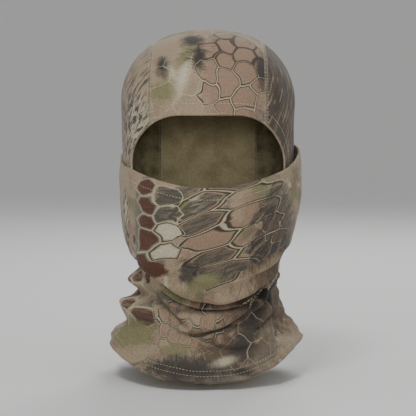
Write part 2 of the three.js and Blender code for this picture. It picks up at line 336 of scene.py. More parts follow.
def cloth(name, points, materials, places, thickness=KNIT, normals=None):
    """A closed sheet from a grid of its outer points. materials are (outside, inside).
    places are (across, up) distances that say where each point lies on the printed cloth."""
    rows, columns, _ = points.shape
    normals = grid_normals(points) if normals is None else normals
    inner = points - normals * thickness
    place = np.stack([places[0], places[1], np.zeros((rows, columns))], -1)
    index = np.arange(rows * columns).reshape(rows, columns)
    corner = index[:-1, :-1], index[:-1, 1:], index[1:, 1:], index[1:, :-1]
    outer_faces = np.stack(corner, -1).reshape(-1, 4)
    inner_faces = outer_faces[:, ::-1] + rows * columns
    border = np.concatenate([index[0, :], index[1:, -1], index[-1, -2::-1], index[-2:0:-1, 0]])
    after = np.roll(border, -1)
    rim = np.stack([after, border, border + rows * columns, after + rows * columns], -1)
    faces = np.concatenate([outer_faces, inner_faces, rim])
    slots = np.concatenate([np.zeros(len(outer_faces)), np.ones(len(inner_faces)), np.zeros(len(rim))])
    a, b, c = (points.reshape(-1, 3)[outer_faces[:, k]] for k in (0, 1, 3))
    facing = (np.cross(b - a, c - a) * normals.reshape(-1, 3)[outer_faces[:, 0]]).sum()
    if facing < 0:
        faces = faces[:, ::-1]
    vertices = np.concatenate([points.reshape(-1, 3), inner.reshape(-1, 3)])
    places = np.concatenate([place.reshape(-1, 3)] * 2)
    piece = new_mesh(name, vertices, faces, materials, slots, places)
    print(f"{name}: {rows} by {columns} places, {len(faces)} faces")
    return piece


def cloth_area(points):
    """The area of a grid of points, in square metres."""
    a = points[1:, :-1] - points[:-1, :-1]
    b = points[:-1, 1:] - points[:-1, :-1]
    return float(np.linalg.norm(np.cross(a, b), axis=-1).sum())


# %% [markdown]
# ## Printed cloth
#
# The print is a generic camouflage: soft blotches of tan, olive, brown and charcoal, and over them a net of
# scale-like cells with outlines. A few dark blotches and bands in the folds are painted shade and shadow.
# Painting it by hand needs image files, so it is grown from shader nodes instead. Node groups hold the
# effects that return: soft spots, the net of cells, streaks and the knit itself. A short list of places then
# says where each cloth carries which of them, in millimetres on that cloth.

# %% A helper to write shader nodes
class Nodes:
    """Adds shader nodes to a tree and links them as they are used."""

    def __init__(self, tree):
        self.tree = tree

    def feed(self, socket, value):
        if isinstance(value, bpy.types.NodeSocket):
            self.tree.links.new(value, socket)
        else:
            socket.default_value = value

    def add(self, kind, inputs=None, output=0, **settings):
        node = self.tree.nodes.new("ShaderNode" + kind)
        for key, value in settings.items():
            setattr(node, key, value)
        for key, value in (inputs or {}).items():
            self.feed(node.inputs[key], value)
        return node.outputs[output]

    def math(self, operation, *values):
        return self.add("Math", dict(enumerate(values)), operation=operation)

    def vector(self, operation, *values, output=0):
        return self.add("VectorMath", dict(enumerate(values)), output, operation=operation)

    def mix(self, share, first, second):
        return self.add("Mix", {0: share, 6: first, 7: second}, 2, data_type="RGBA")

    def ramp(self, value, low, high):
        """0 below low and 1 above high, smooth between; low may be above high."""
        inputs = {"Value": value, "From Min": low, "From Max": high}
        return self.add("MapRange", inputs, interpolation_type="SMOOTHSTEP")

    def noise(self, place, scale, detail=2.0, output=0):
        inputs = {"Vector": place, "Scale": scale, "Detail": detail}
        return self.add("TexNoise", inputs, output, noise_dimensions="3D")

    def group(self, tree, **inputs):
        node = self.tree.nodes.new("ShaderNodeGroup")
        node.node_tree = tree
        for key, value in inputs.items():
            self.feed(node.inputs[key.replace("_", " ")], value)
        return node.outputs


def new_group(name, inputs, outputs):
    """A node group. inputs are (name, kind, value); outputs are (name, kind)."""
    tree = bpy.data.node_groups.new(name, "ShaderNodeTree")
    for label, kind, value in inputs:
        tree.interface.new_socket(label, in_out="INPUT",
                                  socket_type="NodeSocket" + kind).default_value = value
    for label, kind in outputs:
        tree.interface.new_socket(label, in_out="OUTPUT", socket_type="NodeSocket" + kind)
    entry = tree.nodes.new("NodeGroupInput").outputs
    leave = tree.nodes.new("NodeGroupOutput").inputs
    return Nodes(tree), entry, leave


def srgb(red, green, blue):
    """A colour as a painter names it, 0 to 255, in the linear light that shaders use."""
    parts = [value / 255 for value in (red, green, blue)]
    return (*(v / 12.92 if v <= 0.04045 else ((v + 0.055) / 1.055) ** 2.4 for v in parts), 1.0)


# %% Node group: a soft spot with a ragged edge
# The distance from the spot's middle, made uneven by two noises, then faded out at the edge.
nodes, entry, leave = new_group(
    "soft spot",
    [("Place", "Vector", (0, 0, 0)), ("Middle", "Vector", (0, 0, 0)), ("Size", "Vector", (10, 10, 1)),
     ("Turn", "Float", 0.0), ("Soft", "Float", 0.3), ("Ragged", "Float", 0.3)],
    [("Mask", "Float")],
)
from_middle = nodes.vector("SUBTRACT", entry["Place"], entry["Middle"])
turned = nodes.add("VectorRotate", {"Vector": from_middle, "Angle": entry["Turn"]}, rotation_type="Z_AXIS")
reach = nodes.vector("LENGTH", nodes.vector("DIVIDE", turned, entry["Size"]), output="Value")
wobble = nodes.math("SUBTRACT", nodes.noise(entry["Place"], 0.14, 4.0), 0.5)
grain = nodes.math("SUBTRACT", nodes.noise(entry["Place"], 1.1, 2.0), 0.5)
wobble = nodes.math("ADD", wobble, nodes.math("MULTIPLY", grain, 0.8))
reach = nodes.math("ADD", reach, nodes.math("MULTIPLY", wobble, entry["Ragged"]))
inner = nodes.math("SUBTRACT", 1.0, entry["Soft"])
nodes.feed(leave["Mask"], nodes.math("SUBTRACT", 1.0, nodes.ramp(reach, inner, 1.05)))
SOFT_SPOT = nodes.tree
print("node group:", SOFT_SPOT.name, "with", len(SOFT_SPOT.nodes), "nodes")

# %% Node group: a net of scale-like cells
# Each place is measured from the nearer of two interleaved lattices, which gives six-sided cells.
nodes, entry, leave = new_group(
    "scale cells",
    [("Place", "Vector", (0, 0, 0)), ("Cell", "Vector", (16, 16, 1)), ("Turn", "Float", 0.0),
     ("Shift", "Vector", (0, 0, 0)), ("Warp", "Float", 0.3)],
    [("Edge", "Float"), ("Chance", "Float"), ("Middle", "Vector")],
)
LATTICE = (1.0, math.sqrt(3), 1.0)
HALF = tuple(side / 2 for side in LATTICE)
MINUS_HALF = tuple(-side for side in HALF)
turned = nodes.add("VectorRotate", {"Vector": entry["Place"], "Angle": entry["Turn"]}, rotation_type="Z_AXIS")
grid = nodes.vector("ADD", nodes.vector("DIVIDE", turned, entry["Cell"]), entry["Shift"])
swirl = nodes.vector("SUBTRACT", nodes.noise(grid, 0.9, 1.0, output=1), (0.5, 0.5, 0.5))
swirl = nodes.vector("MULTIPLY", swirl, (1, 1, 0))
swirl = nodes.add("VectorMath", {0: swirl, "Scale": entry["Warp"]}, operation="SCALE")
grid = nodes.vector("MULTIPLY", nodes.vector("ADD", grid, swirl), (1, 1, 0))
first = nodes.vector("WRAP", grid, HALF, MINUS_HALF)
second = nodes.vector("WRAP", nodes.vector("SUBTRACT", grid, HALF), HALF, MINUS_HALF)
first_far = nodes.vector("LENGTH", nodes.vector("MULTIPLY", first, (1, 1, 0)), output="Value")
second_far = nodes.vector("LENGTH", nodes.vector("MULTIPLY", second, (1, 1, 0)), output="Value")
nearer = nodes.math("LESS_THAN", first_far, second_far)
from_cell = nodes.add("Mix", {0: nearer, 4: second, 5: first}, 1, data_type="VECTOR")
size_x, size_y, _ = nodes.add("SeparateXYZ", {0: nodes.vector("ABSOLUTE", from_cell)}).node.outputs
slope = nodes.math("ADD", nodes.math("MULTIPLY", size_x, 0.5), nodes.math("MULTIPLY", size_y, HALF[1]))
edge = nodes.math("SUBTRACT", 0.5, nodes.math("MAXIMUM", size_x, slope))
home = nodes.vector("MULTIPLY", nodes.vector("SUBTRACT", grid, from_cell), (1, 1, 0))
number = nodes.vector("FLOOR", nodes.vector("MULTIPLY_ADD", home, (2, 2 / LATTICE[1], 1), (0.5, 0.5, 0.5)))
home = nodes.vector("MULTIPLY", nodes.vector("SUBTRACT", home, entry["Shift"]), entry["Cell"])
back = nodes.math("MULTIPLY", entry["Turn"], -1.0)
home = nodes.add("VectorRotate", {"Vector": home, "Angle": back}, rotation_type="Z_AXIS")
nodes.feed(leave["Edge"], edge)
nodes.feed(leave["Chance"], nodes.add("TexWhiteNoise", {"Vector": number}, noise_dimensions="3D"))
nodes.feed(leave["Middle"], home)
SCALE_CELLS = nodes.tree
print("node group:", SCALE_CELLS.name, "with", len(SCALE_CELLS.nodes), "nodes")

# %% Node group: fine broken streaks
# Noise drawn out along one direction, cut off sharply.
nodes, entry, leave = new_group(
    "streaks",
    [("Place", "Vector", (0, 0, 0)), ("Turn", "Float", 0.0), ("Length", "Float", 18.0),
     ("Width", "Float", 2.0), ("Amount", "Float", 0.5)],
    [("Mask", "Float")],
)
turned = nodes.add("VectorRotate", {"Vector": entry["Place"], "Angle": entry["Turn"]}, rotation_type="Z_AXIS")
narrow = nodes.add("CombineXYZ", {0: entry["Length"], 1: entry["Width"], 2: 1.0})
fibre = nodes.noise(nodes.vector("DIVIDE", turned, narrow), 1.0, 3.0)
low = nodes.math("SUBTRACT", 0.68, nodes.math("MULTIPLY", entry["Amount"], 0.3))
nodes.feed(leave["Mask"], nodes.ramp(fibre, low, nodes.math("ADD", low, 0.07)))
STREAKS = nodes.tree
print("node group:", STREAKS.name, "with", len(STREAKS.nodes), "nodes")

# %% Node group: the knit
# Ribs run up the cloth and courses bend across them. Their height also darkens the colour in the knit's
# hollows, which is painted shade; fuzz, specks and wear give the yarn its own uneven tone.
nodes, entry, leave = new_group(
    "knit",
    [("Place", "Vector", (0, 0, 0)), ("Pitch", "Float", 0.95)],
    [("Height", "Float"), ("Shade", "Float")],
)
across, up, _ = nodes.add("SeparateXYZ", {0: entry["Place"]}).node.outputs
half = nodes.math("MULTIPLY", entry["Pitch"], 0.5)
rib = nodes.math("DIVIDE", nodes.math("PINGPONG", across, half), half)
bent = nodes.math("ADD", up, nodes.math("MULTIPLY", rib, 0.4))
course = nodes.math("DIVIDE", nodes.math("PINGPONG", bent, nodes.math("MULTIPLY", half, 0.8)), half)
fuzz = nodes.noise(entry["Place"], 2.2, 3.0)
height = nodes.math("ADD", nodes.math("MULTIPLY", rib, 0.55), nodes.math("MULTIPLY", course, 0.35))
nodes.feed(leave["Height"], nodes.math("ADD", height, nodes.math("MULTIPLY", fuzz, 0.25)))
worn = nodes.noise(entry["Place"], 0.35, 4.0)
speck = nodes.noise(entry["Place"], 0.9, 1.0)
# The height term darkens the knit's hollows: painted shade. Fuzz, specks and wear are uneven tone.
shade = nodes.math("ADD", nodes.math("MULTIPLY", height, 0.30), nodes.math("MULTIPLY", fuzz, 0.50))
shade = nodes.math("ADD", shade, nodes.math("MULTIPLY", worn, 0.40))
shade = nodes.math("ADD", shade, nodes.math("MULTIPLY", speck, 0.85))
nodes.feed(leave["Shade"], nodes.math("SUBTRACT", shade, 0.05))
KNIT_GROUP = nodes.tree
print("node group:", KNIT_GROUP.name, "with", len(KNIT_GROUP.nodes), "nodes")

# %% [markdown]
# ## Painting with the groups
#
# A printed cloth is built up as a printer would: the ground first, then blotches, then filled cells, then the
# outlines, and the yarn's own tone and the painted shade of its hollows over all of it. Each layer mixes a
# colour in where its mask is on. A few blotches and bands on the front cloth and the sides are painted shade
# and shadow in the folds.

# %% Inks
TAN = srgb(158, 140, 116)
SAND = srgb(190, 182, 158)
PINK_BROWN = srgb(146, 122, 102)
OLIVE = srgb(126, 121, 88)
KHAKI = srgb(112, 104, 92)
CHARCOAL = srgb(66, 61, 57)
SLATE = srgb(84, 80, 71)
RED_BROWN = srgb(88, 56, 44)
# This brown is print, and under the chin and beside the neck it also paints the shade in the folds.
BROWN = srgb(98, 83, 69)
NEAR_BLACK = srgb(34, 31, 29)
DARK_LINE = srgb(56, 48, 42)
PALE_LINE = srgb(178, 170, 142)
print("inks: tan is", tuple(round(part, 3) for part in TAN[:3]), "in linear light")

# %% One painted layer
FAR = 1000                        # a spot's size in the third direction, which the cloth doesn't use


def spot_mask(nodes, place, middle, size, turn=0, soft=0.4, ragged=0.8):
    return nodes.group(SOFT_SPOT, Place=place, Middle=(*middle, 0), Size=(*size, FAR),
                       Turn=math.radians(turn), Soft=soft, Ragged=ragged)["Mask"]


def blotch(nodes, place, colour, ink, middle, size, turn=0, soft=0.5, ragged=0.9, strength=1.0):
    """A patch of ink. Some patches paint the shade and the shadows in the folds."""
    mask = spot_mask(nodes, place, middle, size, turn, soft, ragged)
    return nodes.mix(nodes.math("MULTIPLY", mask, strength), colour, ink)


def streaky(nodes, place, colour, ink, middle, size, turn=60, length=18, width=2.0, amount=0.5, strength=0.8):
    """A patch of broken strokes."""
    mask = spot_mask(nodes, place, middle, size)
    lines = nodes.group(STREAKS, Place=place, Turn=math.radians(turn), Length=length, Width=width,
                        Amount=amount)
    share = nodes.math("MULTIPLY", nodes.math("MULTIPLY", mask, lines["Mask"]), strength)
    return nodes.mix(share, colour, ink)


def cells(nodes, place, colour, middle, size, cell, anchor, turn=0, fill=None, share=1.0, margin=1.5,
          pale=1.0, dark=0.0, zone_turn=0, warp=1.0, strength=0.9, soft=0.1, mottle=0.35):
    """A field of cells, one of them centred on anchor. fill inks a share of the cells, from margin inwards;
    pale and dark are the half-widths of the two outlines. All in millimetres."""
    angle = math.radians(turn)
    turned = (anchor[0] * math.cos(angle) - anchor[1] * math.sin(angle),
              anchor[0] * math.sin(angle) + anchor[1] * math.cos(angle))
    net = nodes.group(SCALE_CELLS, Place=place, Cell=(*cell, FAR), Turn=angle,
                      Shift=(-turned[0] / cell[0], -turned[1] / cell[1], 0), Warp=warp)
    at_cell = spot_mask(nodes, net["Middle"], middle, size, zone_turn, soft, 0.2)
    edge = nodes.math("MULTIPLY", net["Edge"], min(cell))
    if fill:
        inside = nodes.ramp(edge, margin, margin + 0.7)
        chosen = nodes.math("LESS_THAN", net["Chance"], share)
        mask = nodes.math("MULTIPLY", nodes.math("MULTIPLY", at_cell, inside), chosen)
        fibre = nodes.group(STREAKS, Place=place, Turn=angle, Length=2.0, Width=14.0, Amount=0.75)["Mask"]
        mask = nodes.math("MULTIPLY", mask, nodes.math("SUBTRACT", 1.0,
                                                       nodes.math("MULTIPLY", fibre, mottle)))
        colour = nodes.mix(mask, colour, fill)
    if dark:
        line = nodes.math("MULTIPLY", nodes.ramp(edge, dark, dark * 0.6), at_cell)
        colour = nodes.mix(nodes.math("MULTIPLY", line, strength), colour, DARK_LINE)
    if pale:
        line = nodes.math("MULTIPLY", nodes.ramp(edge, pale, pale * 0.4), at_cell)
        colour = nodes.mix(nodes.math("MULTIPLY", line, strength), colour, PALE_LINE)
    return colour


LAYERS = {"blotch": blotch, "streaky": streaky, "cells": cells}
print("kinds of layer:", ", ".join(LAYERS))


# %% The ground, the yarn and a whole print
def ground(nodes, place):
    """Soft large patches of the four ground inks."""
    colour = nodes.mix(nodes.ramp(nodes.noise(place, 0.030, 3.0), 0.52, 0.62), TAN, PINK_BROWN)
    moved = nodes.vector("ADD", place, (300, 70, 40))
    colour = nodes.mix(nodes.ramp(nodes.noise(moved, 0.034, 3.0), 0.56, 0.66), colour, OLIVE)
    moved = nodes.vector("ADD", place, (-120, 400, 90))
    colour = nodes.mix(nodes.ramp(nodes.noise(moved, 0.042, 4.0), 0.58, 0.66), colour, KHAKI)
    moved = nodes.vector("ADD", place, (70, -200, 10))
    return nodes.mix(nodes.ramp(nodes.noise(moved, 0.05, 2.0), 0.64, 0.72), colour, SAND)


def finish_cloth(nodes, shader, place, colour, roughness, bump):
    """Adds the yarn's uneven tone, the painted shade of its hollows, and its relief."""
    knit = nodes.group(KNIT_GROUP, Place=place)
    shade = nodes.add("CombineColor", {0: knit["Shade"], 1: knit["Shade"], 2: knit["Shade"]})
    shaded = nodes.add("Mix", {0: 1.0, 6: colour, 7: shade}, 2, data_type="RGBA", blend_type="MULTIPLY")
    nodes.feed(shader.inputs["Base Color"], shaded)
    spread = nodes.math("ADD", roughness, nodes.math("MULTIPLY", knit["Height"], 0.08))
    nodes.feed(shader.inputs["Roughness"], spread)
    relief = nodes.add("Bump", {"Strength": bump, "Distance": 0.0003, "Height": knit["Height"]})
    nodes.feed(shader.inputs["Normal"], relief)
    shader.inputs["Sheen Weight"].default_value = 0.12
    shader.inputs["Sheen Roughness"].default_value = 0.5
    shader.inputs["Specular IOR Level"].default_value = 0.25


def new_material(name):
    """A material, its nodes, its shader and the place on the cloth in millimetres."""
    material = bpy.data.materials.new(name)
    material.use_nodes = True
    nodes = Nodes(material.node_tree)
    place = nodes.add("Attribute", output="Vector", attribute_name="cloth_place", attribute_type="GEOMETRY")
    place = nodes.vector("SCALE", place)
    place.node.inputs["Scale"].default_value = 1 / MM
    return material, nodes, material.node_tree.nodes["Principled BSDF"], place


def printed_cloth(name, offset, layers):
    """Knitted cloth with a print. layers are (kind, settings), from the ground up."""
    material, nodes, shader, place = new_material(name)
    colour = ground(nodes, nodes.vector("ADD", place, (*offset, 0)))
    for kind, settings in layers:
        colour = LAYERS[kind](nodes, place, colour, **settings)
    finish_cloth(nodes, shader, place, colour, 0.86, 0.5)
    print(f"{name}: {len(layers)} printed layers")
    return material


# %% Places on the print
# The front cloth is measured round the face, so a place seen at x from the front lies further along it.
TURN = np.linspace(-1.5, 1.5, 301)
ROUND = hood_point(TURN, 2.0)
ROUND_RUN = np.concatenate([[0], np.cumsum(np.linalg.norm(np.diff(ROUND[:, :2], axis=0), axis=-1))])
ROUND_RUN -= np.interp(0, ROUND[:, 0], ROUND_RUN)
DOME_TURN = np.linspace(0, math.pi / 2, 200)
DOME_Y = -SECTIONS[0, 2] * np.cos(DOME_TURN) ** (2 / CROWN_SQUARENESS)
DOME_Z = SECTIONS[0, 0] + CROWN_HEIGHT * np.sin(DOME_TURN) ** (2 / CROWN_SQUARENESS)
FOREHEAD = 8 * MM                 # cloth between the opening's top edge and the dome
DOME_RUN = np.concatenate([[0], np.cumsum(np.hypot(np.diff(DOME_Y), np.diff(DOME_Z)))]) + FOREHEAD


def front(x, z):
    """The place on the front cloth that is seen at x and height z from the front, in mm."""
    return float(np.interp(x * MM, ROUND[:, 0], ROUND_RUN) / MM), z


def crown(x, z):
    """The place on the crown strip that is seen at x and height z from the front, in mm."""
    return x, float(np.interp(z * MM, DOME_Z, DOME_RUN) / MM)


print("the front cloth at x = 60 mm lies", round(front(60, 0)[0], 1), "mm round the face")


# %% The print of the front cloth, with shade painted along its creases
# Middles, sizes and cells are in mm and turns in degrees.
SCALES = dict(cell=(15.2, 24.5), turn=90, anchor=front(-51, -37))
LONG_SCALES = dict(cell=(15.0, 54.0), turn=70, anchor=front(0, -66))
SMALL_SCALES = dict(cell=(11.0, 13.0), turn=20, anchor=front(-18, -146))

camo_front = printed_cloth("camo_front", (0, 0), [
    ("blotch", dict(ink=KHAKI, middle=front(-50, -60), size=(22, 46), soft=0.4)),
    ("blotch", dict(ink=TAN, middle=front(-76, -50), size=(16, 60), soft=0.3)),
    ("blotch", dict(ink=OLIVE, middle=front(-72, -62), size=(7, 10), soft=0.6)),
    ("blotch", dict(ink=SAND, middle=front(-71, -46), size=(6, 16), soft=0.6)),
    ("blotch", dict(ink=RED_BROWN, middle=front(-63, -69), size=(5, 4.5), soft=0.15)),
    ("streaky", dict(ink=DARK_LINE, middle=front(-77, -50), size=(14, 55), turn=-80, length=16, width=2.2,
                     amount=0.35)),
    ("streaky", dict(ink=NEAR_BLACK, middle=front(-71, -50), size=(11, 32), turn=-65, length=8, width=2.4,
                     amount=0.6, strength=0.95)),
    ("blotch", dict(ink=PINK_BROWN, middle=front(2, -64), size=(34, 34), turn=20)),
    ("blotch", dict(ink=SAND, middle=front(-12, -36), size=(12, 8))),
    ("blotch", dict(ink=KHAKI, middle=front(60, -62), size=(34, 40), turn=-20)),
    ("blotch", dict(ink=KHAKI, middle=front(58, -38), size=(26, 22), turn=-20, soft=0.7)),
    ("blotch", dict(ink=PINK_BROWN, middle=front(38, -46), size=(14, 26), turn=-10, soft=0.6)),
    ("blotch", dict(ink=OLIVE, middle=front(-20, -36), size=(8, 12))),
    ("blotch", dict(ink=BROWN, middle=front(60, -70), size=(30, 44), turn=-20, ragged=1.2)),
    ("cells", dict(fill=SLATE, share=0.4, middle=front(14, -52), size=(46, 44), margin=1.7, pale=0.6,
                   dark=1.7, zone_turn=-15, mottle=0.3, **LONG_SCALES)),
    ("cells", dict(fill=CHARCOAL, share=0.3, middle=front(58, -62), size=(32, 44), cell=(9.0, 26.0), turn=48,
                   anchor=front(58, -62), margin=0.8, pale=0.3, dark=1.0, zone_turn=20, strength=0.5,
                   warp=1.6)),
    ("streaky", dict(ink=CHARCOAL, middle=front(58, -66), size=(36, 44), turn=-45, length=20, width=3.0,
                     amount=0.5, strength=0.65)),
    ("cells", dict(fill=SLATE, middle=front(-30, -34), size=(14, 20), margin=1.4, pale=1.1, mottle=0.3,
                   **SCALES)),
    ("cells", dict(fill=SAND, middle=front(-33, -67), size=(12, 14), margin=1.9, pale=0.8, dark=1.7,
                   mottle=0.1, **SCALES)),
    ("cells", dict(fill=RED_BROWN, middle=front(-52, -53), size=(13, 44), margin=1.5, pale=1.0, mottle=0.1,
                   **SCALES)),
    ("blotch", dict(ink=CHARCOAL, middle=front(-15, -95), size=(14, 14), ragged=1.4, soft=0.7, strength=0.9)),
    ("blotch", dict(ink=RED_BROWN, middle=front(-42, -89), size=(14, 6), turn=14, soft=0.15, ragged=0.8)),
    ("blotch", dict(ink=RED_BROWN, middle=front(-41, -102), size=(15, 4), turn=38, soft=0.15, ragged=0.6)),
    ("blotch", dict(ink=RED_BROWN, middle=front(-56, -108), size=(5, 13), turn=12, soft=0.15, ragged=0.4)),
    ("blotch", dict(ink=OLIVE, middle=front(-2, -101), size=(15, 8), turn=-20)),
    ("blotch", dict(ink=OLIVE, middle=front(-30, -116), size=(16, 7), turn=30)),
    # Painted shade: a charcoal patch in the trough under the chin's first roll.
    ("blotch", dict(ink=CHARCOAL, middle=front(-2, -127), size=(16, 7), strength=0.8)),
    # Brown print that also paints the shade under the jaw on the wearer's left.
    ("blotch", dict(ink=BROWN, middle=front(52, -92), size=(34, 16), turn=-28, soft=0.6, strength=0.8)),
    # Painted shade: a brown band in the trough under the chin's first roll.
    ("blotch", dict(ink=BROWN, middle=front(36, -122), size=(34, 10), turn=-28, soft=0.5)),
    # Brown print that also paints the shade among the neck's creases on the wearer's left.
    ("blotch", dict(ink=BROWN, middle=front(46, -140), size=(26, 18), soft=0.5, ragged=1.2)),
    ("blotch", dict(ink=TAN, middle=front(46, -90), size=(30, 6), turn=-30, soft=0.6, strength=0.8)),
    # Painted shade: a dark band along the crease under the first roll.
    ("blotch", dict(ink=DARK_LINE, middle=front(29, -123), size=(26, 4.5), turn=-26, soft=0.6,
                    strength=0.75)),
    # Painted shade: a thin brown band along the crease under the first roll's left half.
    ("blotch", dict(ink=BROWN, middle=front(-6, -133), size=(28, 4.5), turn=5, soft=0.6, strength=0.8)),
    # Painted shade: a dark band in the trough under the second roll.
    ("blotch", dict(ink=DARK_LINE, middle=front(16, -151), size=(20, 6), turn=-25, soft=0.6, strength=0.8)),
    ("blotch", dict(ink=KHAKI, middle=front(-32, -131), size=(14, 6), turn=10, soft=0.6)),
    # Painted shade: a charcoal patch in a crease on the wearer's left of the neck.
    ("blotch", dict(ink=CHARCOAL, middle=front(42, -134), size=(13, 16), turn=-35, soft=0.5, strength=0.9)),
    ("streaky", dict(ink=DARK_LINE, middle=front(42, -96), size=(40, 22), turn=-62, length=12, width=1.6,
                     amount=0.45, strength=0.5)),
    ("cells", dict(fill=PINK_BROWN, share=0.6, middle=front(-16, -148), size=(36, 26), margin=1.5, pale=0.4,
                   dark=1.1, **SMALL_SCALES)),
    ("blotch", dict(ink=OLIVE, middle=front(-26, -168), size=(18, 7), strength=0.8)),
    ("blotch", dict(ink=KHAKI, middle=front(0, -184), size=(80, 17), ragged=0.9, soft=0.6)),
    ("blotch", dict(ink=CHARCOAL, middle=front(-16, -184), size=(56, 14), ragged=0.9, soft=0.7,
                    strength=0.9)),
    ("streaky", dict(ink=CHARCOAL, middle=front(-10, -182), size=(56, 14), turn=85, length=10, width=1.6)),
    ("blotch", dict(ink=CHARCOAL, middle=front(34, -186), size=(16, 5), ragged=1.0, soft=0.7)),
    # Brown print that also paints the shade along the lowest crease.
    ("blotch", dict(ink=BROWN, middle=front(30, -168), size=(44, 16), soft=0.5, ragged=1.3)),
    ("blotch", dict(ink=BROWN, middle=front(56, -158), size=(22, 26), soft=0.5, ragged=1.3, strength=0.7)),
    ("blotch", dict(ink=SAND, middle=front(19, -177), size=(17, 5), turn=-14, soft=0.8, strength=0.8)),
    ("blotch", dict(ink=KHAKI, middle=front(52, -174), size=(24, 14), turn=-30, soft=0.8, strength=0.7)),
    ("blotch", dict(ink=CHARCOAL, middle=front(36, -156), size=(16, 28), turn=20, ragged=1.2, strength=0.9)),
    ("cells", dict(middle=front(40, -160), size=(26, 22), cell=(22.0, 26.0), turn=60, anchor=front(40, -150),
                   pale=0.6, strength=0.6)),
    ("streaky", dict(ink=KHAKI, middle=front(58, -150), size=(18, 50), turn=80, length=14, width=2.0,
                     amount=0.5)),
    # Painted shadow: a near-black spot in the deep hollow of the fold on the wearer's left of the chin.
    ("blotch", dict(ink=NEAR_BLACK, middle=front(52, -119), size=(11, 10), ragged=1.2, soft=0.3)),
])

# %% The print of the crown strip
CROWN_SCALES = dict(cell=(23.0, 19.0), turn=90, anchor=crown(16, 104))

camo_crown = printed_cloth("camo_crown", (60, 30), [
    ("blotch", dict(ink=TAN, middle=crown(-32, 92), size=(24, 60), soft=0.3)),
    ("blotch", dict(ink=PINK_BROWN, middle=crown(24, 82), size=(32, 62), soft=0.25)),
    ("blotch", dict(ink=SAND, middle=crown(-22, 76), size=(8, 30), turn=16, soft=0.9)),
    ("blotch", dict(ink=SAND, middle=crown(-34, 84), size=(5, 20), turn=-24, soft=0.9)),
    ("blotch", dict(ink=OLIVE, middle=crown(-40, 64), size=(17, 16), soft=0.7)),
    ("blotch", dict(ink=OLIVE, middle=crown(-18, 96), size=(8, 24), turn=30, soft=0.7)),
    ("blotch", dict(ink=CHARCOAL, middle=crown(-40, 88), size=(9, 20), turn=-10, ragged=0.9, soft=0.8)),
    ("blotch", dict(ink=CHARCOAL, middle=crown(-14, 108), size=(14, 16), ragged=0.8, soft=0.7)),
    ("blotch", dict(ink=CHARCOAL, middle=crown(-8, 92), size=(8, 22), ragged=0.8, soft=0.7)),
    ("streaky", dict(ink=CHARCOAL, middle=crown(-10, 98), size=(18, 28), turn=20, length=14, width=1.8)),
    ("blotch", dict(ink=CHARCOAL, middle=crown(48, 88), size=(9, 34), ragged=0.8, soft=0.7)),
    ("cells", dict(middle=crown(24, 99), size=(30, 36), pale=0.0, dark=2.0, strength=0.85, **CROWN_SCALES)),
    ("cells", dict(middle=crown(22, 64), size=(36, 30), pale=0.8, dark=1.7, **CROWN_SCALES)),
    ("cells", dict(middle=crown(-22, 70), size=(24, 44), cell=(24.0, 26.0), turn=80, anchor=crown(-20, 72),
                   pale=0.8, strength=0.7)),
    ("cells", dict(fill=CHARCOAL, share=0.35, middle=(0, 290), size=(60, 110), margin=1.7, pale=0.8, dark=1.8,
                   cell=(20.0, 24.0), turn=80, anchor=(0, 290))),
    ("streaky", dict(ink=CHARCOAL, middle=(10, 330), size=(50, 60), turn=60, length=20, width=3.0,
                     amount=0.5)),
])

# %% The prints of the two sides, with some painted shade and shadow
SIDE_LAYERS = [
    ("cells", dict(fill=RED_BROWN, share=0.6, middle=(20, -120), size=(60, 30), cell=(14.5, 22.0), turn=90,
                   anchor=(30, -120), margin=1.6, pale=1.1)),
    ("cells", dict(fill=CHARCOAL, share=0.35, middle=(-35, 10), size=(60, 80), cell=(18.0, 24.0), turn=80,
                   anchor=(-30, 0), margin=1.7, pale=0.8, dark=1.8)),
]
camo_right = printed_cloth("camo_right", (200, 0), [
    ("blotch", dict(ink=TAN, middle=(50, 50), size=(70, 70), soft=0.3)),
    ("blotch", dict(ink=SAND, middle=(66, 30), size=(24, 44), soft=0.7, strength=0.7)),
    *SIDE_LAYERS,
    ("streaky", dict(ink=DARK_LINE, middle=(60, 60), size=(56, 70), turn=-60, length=22, width=2.6,
                     amount=0.5)),
    # A khaki band, partly print and partly painted shade where the side turns away at the outline seen from
    # the front.
    ("blotch", dict(ink=KHAKI, middle=(8, 40), size=(26, 80), soft=0.6)),
    ("blotch", dict(ink=OLIVE, middle=(45, -158), size=(30, 14))),
    ("streaky", dict(ink=CHARCOAL, middle=(55, 24), size=(34, 44), turn=-50, length=9, width=3.2, amount=0.65,
                     strength=0.95)),
    ("streaky", dict(ink=CHARCOAL, middle=(40, 70), size=(50, 40), turn=-58, length=16, width=2.0,
                     amount=0.4)),
])
camo_left = printed_cloth("camo_left", (-240, 60), [
    ("blotch", dict(ink=BROWN, middle=(50, 50), size=(84, 84), soft=0.3)),
    ("blotch", dict(ink=CHARCOAL, middle=(50, 60), size=(70, 70), soft=0.9, strength=0.35)),
    *SIDE_LAYERS,
    ("streaky", dict(ink=CHARCOAL, middle=(50, 60), size=(70, 80), turn=60, length=24, width=4.0,
                     amount=0.65)),
    ("streaky", dict(ink=TAN, middle=(50, 30), size=(70, 60), turn=62, length=20, width=2.2, amount=0.4)),
    ("blotch", dict(ink=BROWN, middle=(30, -120), size=(60, 40), soft=0.5, ragged=1.2)),
    # Painted shadow: near-black spots in the deep fold pits beside the neck.
    ("blotch", dict(ink=NEAR_BLACK, middle=(30, -122), size=(18, 13), ragged=1.2, soft=0.3)),
    ("blotch", dict(ink=NEAR_BLACK, middle=(50, -149), size=(13, 10), ragged=1.4, soft=0.3)),
    ("streaky", dict(ink=RED_BROWN, middle=(44, -136), size=(20, 14), turn=20, length=9, width=3.0,
                     amount=0.6)),
])

